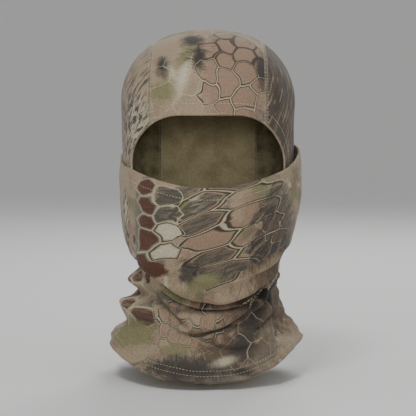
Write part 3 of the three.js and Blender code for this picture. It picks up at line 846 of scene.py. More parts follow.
# %% [markdown]
# ## The reverse and the thread
#
# Print ink stays on the face of a knit, so the inside shows plain olive yarn. On the sides the yarn is a
# darker
# copy with smaller, stronger patches: painted shade on the inside walls that the light only grazes. The
# thread is a shinier yarn than the cloth. Both could share the cloth's material with another colour, but as
# materials of their own they can be given their own roughness and relief.

# %% Reverse side and thread
def plain_cloth(name, pale, deep, patch):
    """Unprinted knit: two close inks in soft patches; patch is their size in millimetres."""
    material, nodes, shader, place = new_material(name)
    worn = nodes.ramp(nodes.noise(place, 1 / patch, 4.0), 0.35, 0.7)
    finish_cloth(nodes, shader, place, nodes.mix(worn, srgb(*pale), srgb(*deep)), 0.9, 0.6)
    return material


cloth_reverse = plain_cloth("cloth_reverse", (190, 177, 140), (166, 153, 119), 20)
# The sides' inside is painted darker than the rest: painted shade on the walls that the light only grazes.
side_reverse_shaded = plain_cloth("cloth_reverse_side_shaded", (158, 148, 116), (112, 104, 78), 13)

thread, nodes, shader, place = new_material("thread")
yarn = nodes.ramp(nodes.noise(place, 0.3, 3.0), 0.35, 0.65)
nodes.feed(shader.inputs["Base Color"], nodes.mix(yarn, srgb(150, 140, 118), srgb(184, 176, 150)))
twist = nodes.noise(place, 3.0, 2.0)
nodes.feed(shader.inputs["Roughness"], nodes.math("ADD", 0.5, nodes.math("MULTIPLY", twist, 0.2)))
nodes.feed(shader.inputs["Normal"], nodes.add("Bump", {"Strength": 0.4, "Distance": 0.0002, "Height": twist}))
shader.inputs["Sheen Weight"].default_value = 0.2
print("plain materials:", cloth_reverse.name, side_reverse_shaded.name, thread.name)

# %% [markdown]
# ## The hood's three cloths
#
# The crown strip is a long band with straight seams. On the worn shape its sides lie in two nearly upright
# planes, so each row of the strip is a cut of the surface at steady distances from the middle. The side
# panels start on the same lines, run down past the ear and end in front on the edge of the eye opening.

# %% Cutting lines of the hood
SEAM_MIDDLE = 49 * MM             # half-width of the crown strip over the ears
SEAM_SLOPE = 0.03                 # it widens this much towards the forehead
EYE_HALF_WIDTH = 69 * MM
EYE_TOP = 42 * MM
EYE_CORNER = 44 * MM
CHIN_LEVEL = -72 * MM
NECK_EDGE = (-128 * MM, 34 * MM)  # below the chin the side panels end here, under the front cloth


def opening_x(z):
    """Half-width of the eye opening at a height, from its top edge down to the neck."""
    corner_x = EYE_HALF_WIDTH - EYE_CORNER
    rise = np.clip((z - (EYE_TOP - EYE_CORNER)) / EYE_CORNER, 0, 1)
    rounded = corner_x + EYE_CORNER * np.sqrt(1 - rise**2)
    low, narrow = NECK_EDGE
    tapered = EYE_HALF_WIDTH + (narrow - EYE_HALF_WIDTH) * smooth((CHIN_LEVEL - z) / (CHIN_LEVEL - low))
    return np.where(z < CHIN_LEVEL, tapered, rounded)


def opening_z(x):
    """Height of the opening's top edge at a distance from the middle."""
    over = np.clip((np.abs(x) - (EYE_HALF_WIDTH - EYE_CORNER)) / EYE_CORNER, 0, 1)
    return EYE_TOP - EYE_CORNER + EYE_CORNER * np.sqrt(1 - over**2)


def angle_at(x, level):
    """The angle at which a cross-section is x wide, in the front half."""
    half_width = section_at(np.asarray(level, float))[..., 1]
    return np.arcsin(np.clip(x / half_width, 0, 1) ** (SQUARENESS / 2))


def seam_angle(level, back):
    """Where the crown strip's seam crosses a level: near the face, or at the back."""
    angle = angle_at(SEAM_MIDDLE, level)
    for _ in range(8):
        y = hood_point(math.pi - angle if back else angle, level)[..., 1]
        angle = angle_at(SEAM_MIDDLE - SEAM_SLOPE * y, level)
    return math.pi - angle if back else angle


def opening_angle(level):
    """The angle of the opening's side edge at a level."""
    angle = angle_at(EYE_HALF_WIDTH, level)
    for _ in range(12):
        z = hood_point(angle, level)[..., 2]
        angle = 0.5 * angle + 0.5 * angle_at(opening_x(z), level)
    return angle


print("the opening's edge at the widest level:", round(math.degrees(opening_angle(np.array(0.5))), 1),
      "degrees")


# %% The crown panel
STRIP_COLUMNS = 49
DOME_ROWS = 120
BACK_ROWS = 100
FRONT_ROWS = 6


def strip_row(across, x_scale, level, back):
    """One row of the strip below the dome, at a level, in front or at the back."""
    x = across * x_scale
    angle = angle_at(np.abs(x), level)
    angle = np.where(back, math.pi - angle, angle) * np.where(x < 0, -1, 1)
    return hood_point(angle, level)


def crown_strip():
    across = np.linspace(-1, 1, STRIP_COLUMNS)
    rows = []
    seam_x = hood_point(seam_angle(np.array(0.0), False), 0.0)[0]
    edge = opening_z(across * seam_x)
    for k in range(FRONT_ROWS):
        row = strip_row(across, seam_x, np.zeros(STRIP_COLUMNS), np.zeros(STRIP_COLUMNS, bool))
        row[:, 2] = edge + (SECTIONS[0, 0] - edge) * k / FRONT_ROWS
        rows.append(row)
    depth, half_width = SECTIONS[0, 2], SECTIONS[0, 1]
    for turn in np.linspace(0, math.pi, DOME_ROWS):
        y = -depth * power(np.cos(turn), 2 / CROWN_SQUARENESS)
        for _ in range(3):
            x = across * (SEAM_MIDDLE - SEAM_SLOPE * y)
            deepest = depth * (1 - np.abs(x / half_width) ** SQUARENESS) ** (1 / SQUARENESS)
            y = -deepest * power(np.cos(turn), 2 / CROWN_SQUARENESS)
        full = (np.abs(x / half_width) ** SQUARENESS + np.abs(y / depth) ** SQUARENESS)
        height = np.clip(1 - full ** (CROWN_SQUARENESS / SQUARENESS), 0, 1) ** (1 / CROWN_SQUARENESS)
        rows.append(np.stack([x, y, SECTIONS[0, 0] + CROWN_HEIGHT * height], -1))
    for level in np.linspace(0, BOTTOM, BACK_ROWS)[1:]:
        levels = np.full(STRIP_COLUMNS, level)
        seam_x = abs(hood_point(seam_angle(np.array(level), True), level)[0])
        rows.append(strip_row(across, seam_x, levels, np.ones(STRIP_COLUMNS, bool)))
    return np.array(rows)


crown_base = crown_strip()
crown_normals = grid_normals(crown_base)
crown_points = hood_folds(crown_base, crown_normals)
crown_panel = cloth("crown_cloth", crown_points, (camo_crown, cloth_reverse), along_strip(crown_base))

# %% The side panels
SIDE_COLUMNS = 84
SIDE_DOME_ROWS = 34
SIDE_ROWS = 104


def side_grid(side):
    """Base points of a side panel; side is 1 for the wearer's left and -1 for the right."""
    share = np.linspace(0, 1, SIDE_COLUMNS)
    first, last = seam_angle(np.array(0.0), False), seam_angle(np.array(0.0), True)
    angle = first + (last - first) * share
    widest = hood_point(angle, 0.0)
    spread = SEAM_MIDDLE / (widest[:, 0] + SEAM_SLOPE * widest[:, 1])
    top = -np.arccos(np.clip(spread, 0, 1) ** (CROWN_SQUARENESS / 2)) / (math.pi / 2)
    rows = [hood_point(angle, top * (1 - k / SIDE_DOME_ROWS)) for k in range(SIDE_DOME_ROWS)]
    for level in np.linspace(0, BOTTOM, SIDE_ROWS):
        seam = seam_angle(np.array(level), False)
        edge = opening_angle(np.array(level))
        above_edge = hood_point(seam, level)[2] > opening_z(hood_point(seam, level)[0])
        start = seam if above_edge else edge
        angle = start + (seam_angle(np.array(level), True) - start) * share
        rows.append(hood_point(angle, level))
    return np.array(rows) * [side, 1, 1]


side_panels = {}
side_points = {}
for side, label in ((1, "left"), (-1, "right")):
    base = side_grid(side)
    side_points[label] = hood_folds(base, grid_normals(base))
    skin = camo_left if side > 0 else camo_right
    side_panels[label] = cloth(f"side_cloth_{label}", side_points[label], (skin, side_reverse_shaded),
                               from_the_side(base))

# %% [markdown]
# ## The front cloth
#
# One cloth runs from the folded edge over the nose to the bottom edge. It is sewn to the sides behind the jaw
# and on the neck, and stands off the face between. Its rolls under the chin are the most telling shapes of
# the object, so each has its own crease line.

# %% Edges of the front cloth
PANEL_EDGE_DEPTHS = MM * np.array([-104, -95, -85, -60, -30, 0, 20])
PANEL_EDGE_HEIGHTS = MM * np.array([-26.5, -20, -15, -7.5, 0, 7, 9])
PANEL_EDGE = np.polyfit(PANEL_EDGE_DEPTHS, PANEL_EDGE_HEIGHTS, 4)
PANEL_TILT = 4.0 * MM             # the edge is higher by this at the left ear and lower at the right
TILT_FROM = 64 * MM
TILT_OVER = 18 * MM
SEAM_STEP = 1.0 * MM              # the front cloth lies this far out from the hood at its seams
FRONT_COLUMNS = 190
FRONT_CLOTH_ROWS = 170
SEAM_LEVELS = [0, 3, 3.4, 4, 5, 6, 7, 8]
SEAM_LEFT = [98, 98, 93, 72, 62, 57, 53, 46]     # degrees from the nose, wearer's left
SEAM_RIGHT = [98, 98, 93, 70, 45, 37, 35, 35]

# %% The front cloth's creases
# Each row: points of (x, height, strength), then how far the roll stands out, how far it droops over and how
# tall it is, in mm.
CREASES = [
    ([(-4, -110, 0), (24, -103, 0.6), (44, -94, 0.8), (60, -84, 0.6), (72, -76, 0)], 2.6, 1.6, 6.5),
    ([(-64, -83, 0), (-55, -90, 0.7), (-40, -102, 0.9), (-26, -112, 0.9), (-9, -118, 1), (10, -120, 1.1),
      (29, -115, 1.1), (45, -106, 1.0), (57, -97, 0.7), (68, -88, 0)], 9.0, 6.0, 7.5),
    ([(-46, -112, 0), (-29, -121, 0.7), (-9, -128, 1), (12, -130, 1), (30, -124, 1), (45, -114, 0.9),
      (57, -105, 0.4), (64, -100, 0)], 5.0, 3.4, 4.5),
    ([(-26, -153, 0), (-10, -151, 0.8), (10, -147, 1), (22, -140, 1.1), (30, -132, 1.1), (40, -122, 1),
      (54, -112, 0.7), (62, -106, 0)], 10.0, 6.6, 6.5),
    ([(-14, -154, 0), (-4, -158, 0.6), (10, -163, 1), (26, -168, 0.9), (40, -165, 0.4), (50, -160, 0)], 4.0,
     2.4, 7),
    ([(-44, -124, 0), (-36, -130, 0.8), (-24, -140, 1), (-10, -152, 0)], 3.6, 2.5, 5.5),
    ([(-54, -114, 0), (-42, -125, 0.7), (-28, -131, 0.7), (-12, -136, 0)], 3.0, 2.0, 4.5),
    ([(14, -100, 0), (29, -92, 0.7), (47, -81, 0.9), (68, -70, 0)], 2.8, 1.8, 5.5),
    ([(34, -136, 0), (42, -134, 0.8), (52, -128, 0.9), (60, -121, 0)], 3.6, 2.2, 5),
    ([(38, -153, 0), (46, -150, 0.8), (56, -140, 0.8), (62, -134, 0)], 3.2, 2.0, 5),
]
PANEL_BULGES = [
    (86, -20, 30, 34, 4.2), (-90, 2, 12, 30, -2.0), (74, -92, 12, 26, -4.0), (-80, -40, 40, 30, -1.5),
]
print(len(CREASES), "creases and", len(PANEL_BULGES), "bulges on the front cloth")


# %% Where the front cloth lies
def seam_limits(level):
    """Angles of the front cloth's two side edges at a level: the wearer's right, then left."""
    fine = np.linspace(0, BOTTOM, 161)
    limits = []
    for table in (SEAM_RIGHT, SEAM_LEFT):
        angles = np.interp(fine, SEAM_LEVELS, table)
        for _ in range(6):
            angles = np.convolve(np.pad(angles, 2, mode="edge"), [0.2] * 5, mode="valid")
        limits.append(np.radians(np.interp(level, fine, angles)))
    return -limits[0], limits[1]


def top_level(angle):
    """The level of the front cloth's top edge at an angle: low over the nose, high at the ears."""
    level = np.full_like(angle, 1.0)
    for _ in range(30):
        point = hood_point(angle, level)
        wanted = np.polyval(PANEL_EDGE, np.clip(point[..., 1], PANEL_EDGE_DEPTHS[0], PANEL_EDGE_DEPTHS[-1]))
        tilt = smooth((np.abs(point[..., 0]) - TILT_FROM) / TILT_OVER) * np.sign(point[..., 0])
        wanted = wanted + PANEL_TILT * tilt
        level = level + (point[..., 2] - wanted) / (45 * MM) * 0.7
    return level


def front_point(u, v):
    """A point of the front cloth: u from -1 to 1 across, v from 0 at the top edge to 1 at the bottom."""
    u, v = np.broadcast_arrays(np.asarray(u, float), np.asarray(v, float))
    right, left = seam_limits(np.zeros(1))
    angle = right[0] + (left[0] - right[0]) * (u + 1) / 2
    top = top_level(angle)
    level = top + (BOTTOM - top) * v
    for _ in range(3):
        right, left = seam_limits(level)
        angle = right + (left - right) * (u + 1) / 2
    base = hood_point(angle, level)
    return base, level, angle


# %% Drape the front cloth
AT_SEAM = 0.9 * MM                # how far out the cloth lies beside its seams
OFF_FACE = 4.3 * MM               # and in the middle, in front of the face
OFF_NECK = 2.0 * MM               # and in front of the neck
EDGE_SHARE = 0.16                 # the share of the half-width over which it comes out from the seam
SEWN_SHARE = 0.10                 # the share that follows the hood's own folds
FULLEST = 9 * MM                  # rolls that add up swell no further than this
DEEP = 5 * MM                     # a recess this deep takes away all the swell


def front_grid(u, v):
    """The draped front cloth on a grid of u and v."""
    base, level, angle = front_point(u, v)
    normals = grid_normals(base)
    edge = np.minimum(1, (1 - np.abs(u)) / EDGE_SHARE)
    low = smooth((level - 3.2) / 1.6)
    stand_off = (1 - low) * OFF_FACE + low * OFF_NECK
    out = AT_SEAM + (stand_off - AT_SEAM) * np.sin(np.clip(edge, 0, 1) * math.pi / 2)
    out = out + smooth((level - 5.5) / 1.5) * MM
    fade = np.clip(edge * 1.6, 0.25, 1)
    folds = [[part * fade for part in crease(base, *row)] for row in CREASES]
    swell = sum(fold[0] for fold in folds)
    swell = FULLEST * np.tanh(swell / FULLEST)
    recess = np.max([fold[1] for fold in folds], axis=0)
    drop = -np.max([fold[2] for fold in folds], axis=0)
    out = out + swell * (1 - np.clip(recess / DEEP, 0, 1)) - 0.95 * recess
    top = smooth((level - top_level(angle)) / 0.8)
    loose = smooth((level - 2.2) / 2.0)
    out = out + 0.4 * sum(bulge(base, spot) for spot in HOOD_BULGES)
    out = out + (0.25 + 1.1 * loose) * MM * ripple(base * [1, 1, 1.5], 42 * MM, seed=11)
    out = out + 0.5 * MM * loose * ripple(base * [1, 1, 2], 17 * MM, seed=12)
    out = out + 0.3 * MM * top * ripple(base, 24 * MM, seed=14)
    out = out + sum(bulge(base, spot) for spot in PANEL_BULGES) * (0.3 + 0.7 * smooth(edge))
    sewn = 1 - smooth((1 - np.abs(u)) / SEWN_SHARE)
    out = out + sewn * (hood_swell(base) + SEAM_STEP - out)
    points = base + out[..., None] * normals
    points[..., 2] += drop * (1 - sewn)
    return lean(points)


u_grid, v_grid = np.meshgrid(np.linspace(-1, 1, FRONT_COLUMNS), np.linspace(0, 1, FRONT_CLOTH_ROWS))
front_points = front_grid(u_grid, v_grid)
base_points = front_point(u_grid, v_grid)[0]
front_cloth = cloth("front_cloth", front_points, (camo_front, cloth_reverse), across_and_up(base_points))

# %% [markdown]
# ## Hems
#
# Three edges are turned in once and sewn down: the eye opening, the top of the front cloth and the bottom.
# The turned strip shows the printed side on the inside. Thickening the edge would fake it; here each hem is a
# strip of its own that rolls round the edge and lies on the inside, so the edge has the soft round lip of
# folded knit.

# %% Places on a cloth
class Patch:
    """A grid of cloth that can be asked for the point and normal at any row and column."""

    def __init__(self, points, normals=None):
        self.points = points
        self.normals = grid_normals(points) if normals is None else normals

    def at(self, row, column):
        rows, columns = self.points.shape[:2]
        row, column = np.broadcast_arrays(np.asarray(row, float), np.asarray(column, float))
        r = np.clip(row.astype(int), 0, rows - 2)
        c = np.clip(column.astype(int), 0, columns - 2)
        down, right = (row - r)[..., None], (column - c)[..., None]

        def blend(grid):
            upper = grid[r, c] * (1 - right) + grid[r, c + 1] * right
            lower = grid[r + 1, c] * (1 - right) + grid[r + 1, c + 1] * right
            return upper * (1 - down) + lower * down

        normal = blend(self.normals)
        return blend(self.points), normal / np.linalg.norm(normal, axis=-1, keepdims=True)

    def in_from_edge(self, distances, bottom=False):
        """Points and normals at distances down each column from the top edge, or up from the bottom."""
        points = self.points[::-1] if bottom else self.points
        steps = np.linalg.norm(np.diff(points, axis=0), axis=-1)
        run = np.concatenate([np.zeros((1, points.shape[1])), np.cumsum(steps, axis=0)])
        rows = np.stack([np.interp(distances, run[:, k],
                                   np.arange(len(points))) for k in range(points.shape[1])])
        rows = len(points) - 1 - rows if bottom else rows
        return self.at(rows, np.arange(points.shape[1])[:, None])


# %% A folded strip
HEM_KNIT = 0.8 * MM
# How far in from the edge and out from the cloth the strip's face runs, and which way it faces there.
LIP = MM * np.array([[1.4, -0.25], [0.5, 0.02], [-0.35, -0.1], [-0.85, -0.55], [-1.0, -1.1], [-0.8, -1.65],
                     [-0.3, -2.0], [0.6, -2.1]])
LIP_TURN = np.radians([0, 0, 25, 60, 90, 120, 155, 180])


def hem_grid(points, normals, distances):
    """A strip that rolls round an edge. points and normals run (station, distance in from the edge)."""
    inward = points[:, 1] - points[:, 0]
    inward /= np.linalg.norm(inward, axis=-1, keepdims=True)
    faces, facing = [], []
    for (along, out), turn in zip(LIP, LIP_TURN):
        faces.append(points[:, 0] + inward * along + normals[:, 0] * out)
        facing.append(normals[:, 0] * math.cos(turn) - inward * math.sin(turn))
    for k in range(1, len(distances)):
        faces.append(points[:, k] + normals[:, k] * LIP[-1, 1])
        facing.append(-normals[:, k])
    return np.stack(faces, 0), np.stack(facing, 0)


def join(name, pieces):
    """Joins pieces into the first one, and names it."""
    with bpy.context.temp_override(active_object=pieces[0], selected_editable_objects=pieces):
        bpy.ops.object.join()
    for piece in pieces[1:]:
        PIECES.remove(piece)
    pieces[0].name = name
    return pieces[0]


print("hem lip:", len(LIP), "places round the edge")


# %% Walk in from an edge
def march_in(base, distances):
    """Walks from points of an edge into the hood at right angles to it: (station, distance) grids."""
    along = np.gradient(base, axis=0)
    points, normals = [], []
    here, heading = base, None
    for step in np.diff(distances, prepend=0):
        if heading is not None:
            here = here + heading * step
        angle, level = hood_place(here)
        here = hood_point(angle, level)
        normal = hood_normal(angle, level)
        if heading is None:
            heading = np.cross(along, normal)
            heading *= np.sign(heading[len(base) // 2, 2])
        heading = heading - normal * (heading * normal).sum(-1, keepdims=True)
        heading = heading / np.linalg.norm(heading, axis=-1, keepdims=True)
        points.append(here)
        normals.append(normal)
    return np.stack(points, 1), np.stack(normals, 1)


def front_place(x, z):
    """The point in the hood's front at a given x and height."""
    level = np.interp(-z, -SECTIONS[:, 0], np.arange(len(SECTIONS)))
    for _ in range(40):
        point = hood_point(angle_at(np.abs(x), level) * np.sign(x), level)
        level = np.clip(level + (point[..., 2] - z) / (60 * MM), 0, BOTTOM)
    return point


# %% Hem of the eye opening
OPENING_HEM = 11 * MM

turn = np.linspace(0, math.pi / 2, 30)
side_z = np.linspace(NECK_EDGE[0], EYE_TOP - EYE_CORNER, 76)[:-1]
half_x = np.concatenate([opening_x(side_z), EYE_HALF_WIDTH - EYE_CORNER * (1 - np.cos(turn))])
half_z = np.concatenate([side_z, EYE_TOP - EYE_CORNER * (1 - np.sin(turn))])
flat_x = np.linspace(half_x[-1], -half_x[-1], 40)[1:-1]
edge_x = np.concatenate([half_x, flat_x, -half_x[::-1]])
edge_z = np.concatenate([half_z, np.full(len(flat_x), EYE_TOP), half_z[::-1]])
hem_distances = np.linspace(0, OPENING_HEM, 8)
hem_base, hem_normals = march_in(front_place(edge_x, edge_z), hem_distances)
hem_points = hood_folds(hem_base, hem_normals)
lip, lip_facing = hem_grid(hem_points, hem_normals, hem_distances)
opening_hem = cloth("opening_hem_cloth", lip, (camo_crown, cloth_reverse),
                    (lip[..., 0], EYE_TOP - lip[..., 2]), HEM_KNIT, lip_facing)

# %% Hem of the front cloth
PANEL_HEM = 11 * MM

front_patch = Patch(front_points)
panel_distances = np.linspace(0, PANEL_HEM, 9)
lip, lip_facing = hem_grid(*front_patch.in_from_edge(panel_distances), panel_distances)
panel_hem = cloth("face_panel_hem_cloth", lip, (camo_front, cloth_reverse), across_and_up(lip), HEM_KNIT,
                  lip_facing)

# %% Hem of the bottom edge
BOTTOM_HEM = 14 * MM

bottom_distances = np.linspace(0, BOTTOM_HEM, 9)
back_patch = Patch(crown_points[FRONT_ROWS + DOME_ROWS:])
side_patches = {label: Patch(points[SIDE_DOME_ROWS:]) for label, points in side_points.items()}
strips = []
for patch, skin, places_of in (
    (front_patch, camo_front, across_and_up),
    (back_patch, camo_crown, along_strip),
    (side_patches["left"], camo_left, from_the_side),
    (side_patches["right"], camo_right, from_the_side),
):
    lip, lip_facing = hem_grid(*patch.in_from_edge(bottom_distances, bottom=True), bottom_distances)
    strips.append(cloth("bottom_strip", lip, (skin, cloth_reverse), places_of(lip), HEM_KNIT, lip_facing))
bottom_hem = join("bottom_hem_cloth", strips)
print("hems:", opening_hem.name, panel_hem.name, bottom_hem.name)

# %% [markdown]
# ## Stitches
#
# The cloths are joined flat: a row of cross threads over the seam between two needle rows. The hems are held
# by rows of short stitches. A bump texture would show them from the front, but real threads keep their shape
# in an exported mesh. Each stitch is one short thread whose ends dip into the cloth.

# %% Thread maker
THREAD_RADIUS = 0.24 * MM
STITCH = 2.3 * MM
STITCH_GAP = 0.7 * MM
RING = np.radians(np.arange(0, 360, 60))
# Along a thread: the share of its length, its height and its thickness in radii.
STATIONS = np.array([[0, -0.9, 0.6], [0.22, 0.35, 1], [0.5, 0.75, 1], [0.78, 0.35, 1], [1, -0.9, 0.6]])


def threads(name, starts, ends, normals, radius=THREAD_RADIUS):
    """One mesh of short threads, each from a start to an end, bowed out along its normal."""
    run = ends - starts
    side = np.cross(run, normals)
    side /= np.maximum(np.linalg.norm(side, axis=-1, keepdims=True), 1e-9)
    rings = []
    for share, height, thick in STATIONS:
        middle = starts + run * share + normals * (height * radius)
        for turn in RING:
            rings.append(middle + radius * thick * (side * math.cos(turn) + normals * math.sin(turn)))
    vertices = np.stack(rings, 1).reshape(-1, 3)
    stations, ring = len(STATIONS), len(RING)
    faces = []
    for s in range(stations - 1):
        for k in range(ring):
            faces.append([s * ring + k, s * ring + (k + 1) % ring,
                          (s + 1) * ring + (k + 1) % ring, (s + 1) * ring + k])
    faces = np.array(faces)[None] + (np.arange(len(starts)) * stations * ring)[:, None, None]
    caps = [[ring - 1 - k for k in range(ring)], [(stations - 1) * ring + k for k in range(ring)]]
    caps = np.array(caps)[None] + (np.arange(len(starts)) * stations * ring)[:, None, None]
    places = np.repeat((starts + ends) / 2, stations * ring, axis=0)
    piece = new_mesh(name, vertices, [*faces.reshape(-1, 4), *caps.reshape(-1, ring)], [thread],
                     places=places)
    print(f"{name}: {len(starts)} threads")
    return piece


# %% Rows of stitches
class Line:
    """A path on the cloth with its normals, measured along its length."""

    def __init__(self, points, normals):
        self.points, self.normals = points, normals
        steps = np.linalg.norm(np.diff(points, axis=0), axis=-1)
        self.run = np.concatenate([[0], np.cumsum(steps)])
        self.length = self.run[-1]

    def at(self, distance):
        point = np.stack([np.interp(distance, self.run, self.points[:, k]) for k in range(3)], -1)
        normal = np.stack([np.interp(distance, self.run, self.normals[:, k]) for k in range(3)], -1)
        return point, normal / np.linalg.norm(normal, axis=-1, keepdims=True)

    def beside(self, offset):
        along = np.gradient(self.points, axis=0)
        side = np.cross(along, self.normals)
        side /= np.linalg.norm(side, axis=-1, keepdims=True)
        return Line(self.points + side * offset, self.normals)


def needle_row(line, stitch=STITCH, gap=STITCH_GAP):
    """Starts, ends and normals of a row of stitches along a line."""
    first = np.arange(gap, line.length - stitch, stitch + gap)
    middle = line.at(first + stitch / 2)[1]
    return line.at(first)[0], line.at(first + stitch)[0], middle


def cross_threads(line, width, pitch, slant):
    """Threads across a line, leaning along it by slant."""
    first = np.arange(pitch, line.length - pitch, pitch)
    left, right = line.beside(-width / 2), line.beside(width / 2)
    share = first / line.length
    start = left.at(share * left.length)[0]
    end = right.at(np.minimum(share * right.length + slant, right.length))[0]
    return start, end, line.at(first)[1]


CROSS_PITCH = 1.5 * MM
CROSS_SLANT = 0.9 * MM


def flat_seam(name, line, width, pitch=CROSS_PITCH, turned=False):
    """A flat seam: cross threads between two needle rows; turned puts it on the inside as well."""
    rows = [cross_threads(line, width, pitch, CROSS_SLANT)]
    rows += [needle_row(line.beside(side * width / 2)) for side in (-1, 1)]
    if turned:
        inner = Line(line.points - line.normals * (KNIT + 0.1 * MM), -line.normals)
        rows.append(cross_threads(inner, width, pitch * 1.4, -CROSS_SLANT))
        rows += [needle_row(inner.beside(side * width / 2)) for side in (-1, 1)]
    return threads(name, *(np.concatenate(part) for part in zip(*rows)))


# %% Sew the crown seams and the front cloth's seams
CROWN_SEAM = 3.6 * MM
FRONT_SEAM = 2.6 * MM
FRONT_PITCH = 1.8 * MM
JAW_END_LEVEL = 4.6               # the front cloth's seam is called the neck's seam below this level

seams = {}
for side, column in (("left", -1), ("right", 0)):
    line = Line(crown_points[:, column], crown_normals[:, column])
    seams[f"crown_seam_{side}"] = flat_seam(f"crown_thread_{side}", line, CROWN_SEAM, turned=True)
front_levels = front_point(u_grid, v_grid)[1]
for side, column in (("left", -1), ("right", 0)):
    rows = np.argmax(front_levels[:, column] > JAW_END_LEVEL)
    path, out = front_patch.points[:, column], front_patch.normals[:, column]
    line = Line(path[:rows + 1], out[:rows + 1])
    seams[f"jaw_seam_{side}"] = flat_seam(f"jaw_thread_{side}", line, FRONT_SEAM, FRONT_PITCH)
    line = Line(path[rows:], out[rows:])
    seams[f"neck_seam_{side}"] = flat_seam(f"neck_thread_{side}", line, FRONT_SEAM, FRONT_PITCH)

# %% Sew the hems
NEEDLE_IN = 9.5 * MM              # the needle row of the upper hems, in from the edge
HEM_ROWS = (6 * MM, 11 * MM)      # the two rows of the bottom hem

stitch_base, stitch_normals = march_in(front_place(edge_x, edge_z), np.array([0, NEEDLE_IN / 2, NEEDLE_IN]))
stitch_points = hood_folds(stitch_base, stitch_normals)[:, -1]
shown = slice(30, -30)            # the opening's edge below that is under the front cloth
line = Line(stitch_points[shown], stitch_normals[shown, -1])
opening_stitch = threads("opening_thread", *needle_row(line))
path, out = front_patch.in_from_edge(np.array([0, NEEDLE_IN]))
panel_stitch = threads("face_panel_thread", *needle_row(Line(path[2:-2, 1], out[2:-2, 1])))
hem_threads = {}
for label, distance in zip(("lower", "upper"), HEM_ROWS):
    rows = []
    for patch in (front_patch, back_patch, *side_patches.values()):
        path, out = patch.in_from_edge(np.array([0, distance]), bottom=True)
        rows.append(needle_row(Line(path[1:-1, 1], out[1:-1, 1])))
    hem_threads[label] = threads(f"hem_thread_{label}", *(np.concatenate(part) for part in zip(*rows)))

# %% [markdown]
# ## Riding on the frame
#
# The hood's cloths ride on the still body. The front cloth crosses the joint: on the hood its seams and its
# lower part stay and its middle comes down with the sliding body. Here the front cloth, its hem and its
# stitches only have their transforms baked into their meshes and are attached to neither body.


def moves_with_panel(piece):
    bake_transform(piece)


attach(crown_panel, "hood")
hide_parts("crown_panel")
for label, piece in side_panels.items():
    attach(piece, "hood")
    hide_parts(f"side_panel_{label}")
moves_with_panel(front_cloth)
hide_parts("face_panel", "chin_gather", "neck_front")
moves_with_panel(panel_hem)
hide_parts("face_panel_hem")
moves_with_panel(panel_stitch)
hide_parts("face_panel_stitch")
still = {"opening_hem": opening_hem, "bottom_hem": bottom_hem, "opening_stitch": opening_stitch, **seams,
         **{f"hem_stitch_{label}": piece for label, piece in hem_threads.items()}}
for node, piece in still.items():
    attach(piece, "hood")
    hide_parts(node)

# %% [markdown]
# ## The cloths' worn areas
#
# A stretched knit covers more than it was cut to: each cloth's flat size is its worn area less a few percent
# of stretch, and the sides and the front aren't rectangles. Here the worn areas of the four cloths are
# printed.

for label, grid in (("crown", crown_points), ("left side", side_points["left"]),
                    ("right side", side_points["right"]), ("front", front_points)):
    print(f"{label} cloth as worn: {cloth_area(grid):.4f} m2")
print(len(PIECES), "pieces on the frame")

# %% [markdown]
# ## Studio
#
# A pale floor that curves up into a wall all round hides the horizon from every side. The light is soft: a
# large key from above and in front shows the folds, a weak fill and a low frontal light open up the shadows,
# a narrow light reaches in through the eye opening, and one from behind draws the outline. The camera looks
# slightly down.

# %% Lights
SKY = (0.92, 0.92, 0.93)
SKY_STRENGTH = 0.5


def place_light(name, lamp, place, aim, power_w):
    lamp.energy = power_w
    light = bpy.data.objects.new(name, lamp)
    light.location = place
    light.rotation_euler = (Vector(aim) - Vector(place)).to_track_quat("-Z", "Y").to_euler()
    bpy.context.scene.collection.objects.link(light)


def area_light(name, place, aim, size, power_w):
    lamp = bpy.data.lights.new(name, "AREA")
    lamp.shape = "DISK"
    lamp.size = size
    place_light(name, lamp, place, aim, power_w)


def spot_light(name, place, aim, radius, angle, power_w):
    lamp = bpy.data.lights.new(name, "SPOT")
    lamp.shadow_soft_size = radius
    lamp.spot_size = math.radians(angle)
    lamp.spot_blend = 1.0
    place_light(name, lamp, place, aim, power_w)


world = bpy.data.worlds.new("studio")
bpy.context.scene.world = world
world.use_nodes = True
world.node_tree.nodes["Background"].inputs["Color"].default_value = (*SKY, 1)
world.node_tree.nodes["Background"].inputs["Strength"].default_value = SKY_STRENGTH
area_light("key", (-0.35, -1.0, 1.5), (0, 0, -0.02), 0.5, 13)
area_light("fill", (1.2, -1.0, 0.4), (0, 0, -0.04), 1.0, 1.2)
area_light("front", (0.05, -1.6, 0.20), (0, 0, -0.03), 0.35, 3.8)
spot_light("opening", (0.0, -1.6, 0.20), (0, 0, 0.03), 0.1, 11, 15)
area_light("back", (0.3, 1.3, 1.1), (0, 0, 0), 0.8, 12)
print("lights:", sorted(lamp.name for lamp in bpy.data.lights))

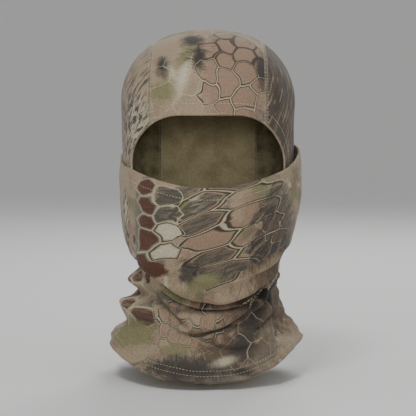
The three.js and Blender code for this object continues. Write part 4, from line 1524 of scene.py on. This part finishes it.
# %% Floor
FLOOR_Z = CAD_BOX[0].z - 0.006
FLOOR_RADIUS = 3.0
WALL_RISE = 2.2
FLOOR_SIDES = 64
profile = [(0.0, 0.0), (FLOOR_RADIUS / 2, 0.0)]
profile += [(FLOOR_RADIUS + WALL_RISE * math.sin(t), WALL_RISE * (1 - math.cos(t)))
            for t in np.linspace(0, math.pi / 2, 13)]
around = np.linspace(0, 2 * math.pi, FLOOR_SIDES, endpoint=False)
bowl = [(radius * math.cos(a), radius * math.sin(a), FLOOR_Z + rise)
        for radius, rise in profile for a in around]
bowl_faces = []
for ring in range(0, (len(profile) - 1) * FLOOR_SIDES, FLOOR_SIDES):
    for n in range(FLOOR_SIDES):
        after = (n + 1) % FLOOR_SIDES
        bowl_faces.append((ring + n, ring + after, ring + FLOOR_SIDES + after, ring + FLOOR_SIDES + n))
floor_mesh = bpy.data.meshes.new("floor")
floor_mesh.from_pydata(bowl, [], bowl_faces)
floor_mesh.polygons.foreach_set("use_smooth", np.ones(len(bowl_faces), bool))
floor = bpy.data.objects.new("floor", floor_mesh)
floor_material = bpy.data.materials.new("pale_floor")
floor_material.use_nodes = True
floor_shader = floor_material.node_tree.nodes["Principled BSDF"]
floor_shader.inputs["Base Color"].default_value = (0.78, 0.78, 0.77, 1)
floor_shader.inputs["Roughness"].default_value = 0.8
floor_mesh.materials.append(floor_material)
bpy.context.scene.collection.objects.link(floor)
print("floor at", round(FLOOR_Z, 4), "m with", len(bowl_faces), "faces")

# %% Camera
camera_data = bpy.data.cameras.new("camera")
camera = bpy.data.objects.new("camera", camera_data)
bpy.context.scene.collection.objects.link(camera)
bpy.context.scene.camera = camera
AIM = Vector((0, 0, -0.046))
ELEVATION = math.radians(4)
DISTANCE = 1.5
PICTURE_WIDTH = 416               # columns in the finished picture
SPAN = PICTURE_WIDTH * 0.93 * MM  # at the object each of them is 0.93 mm wide
SENSOR = 36                       # in mm
camera.location = AIM + DISTANCE * Vector((0, -math.cos(ELEVATION), math.sin(ELEVATION)))
camera.rotation_euler = (AIM - camera.location).to_track_quat("-Z", "Y").to_euler()
camera_data.sensor_width = SENSOR
camera_data.lens = SENSOR * DISTANCE / SPAN
print("lens:", round(camera_data.lens, 1), "mm")
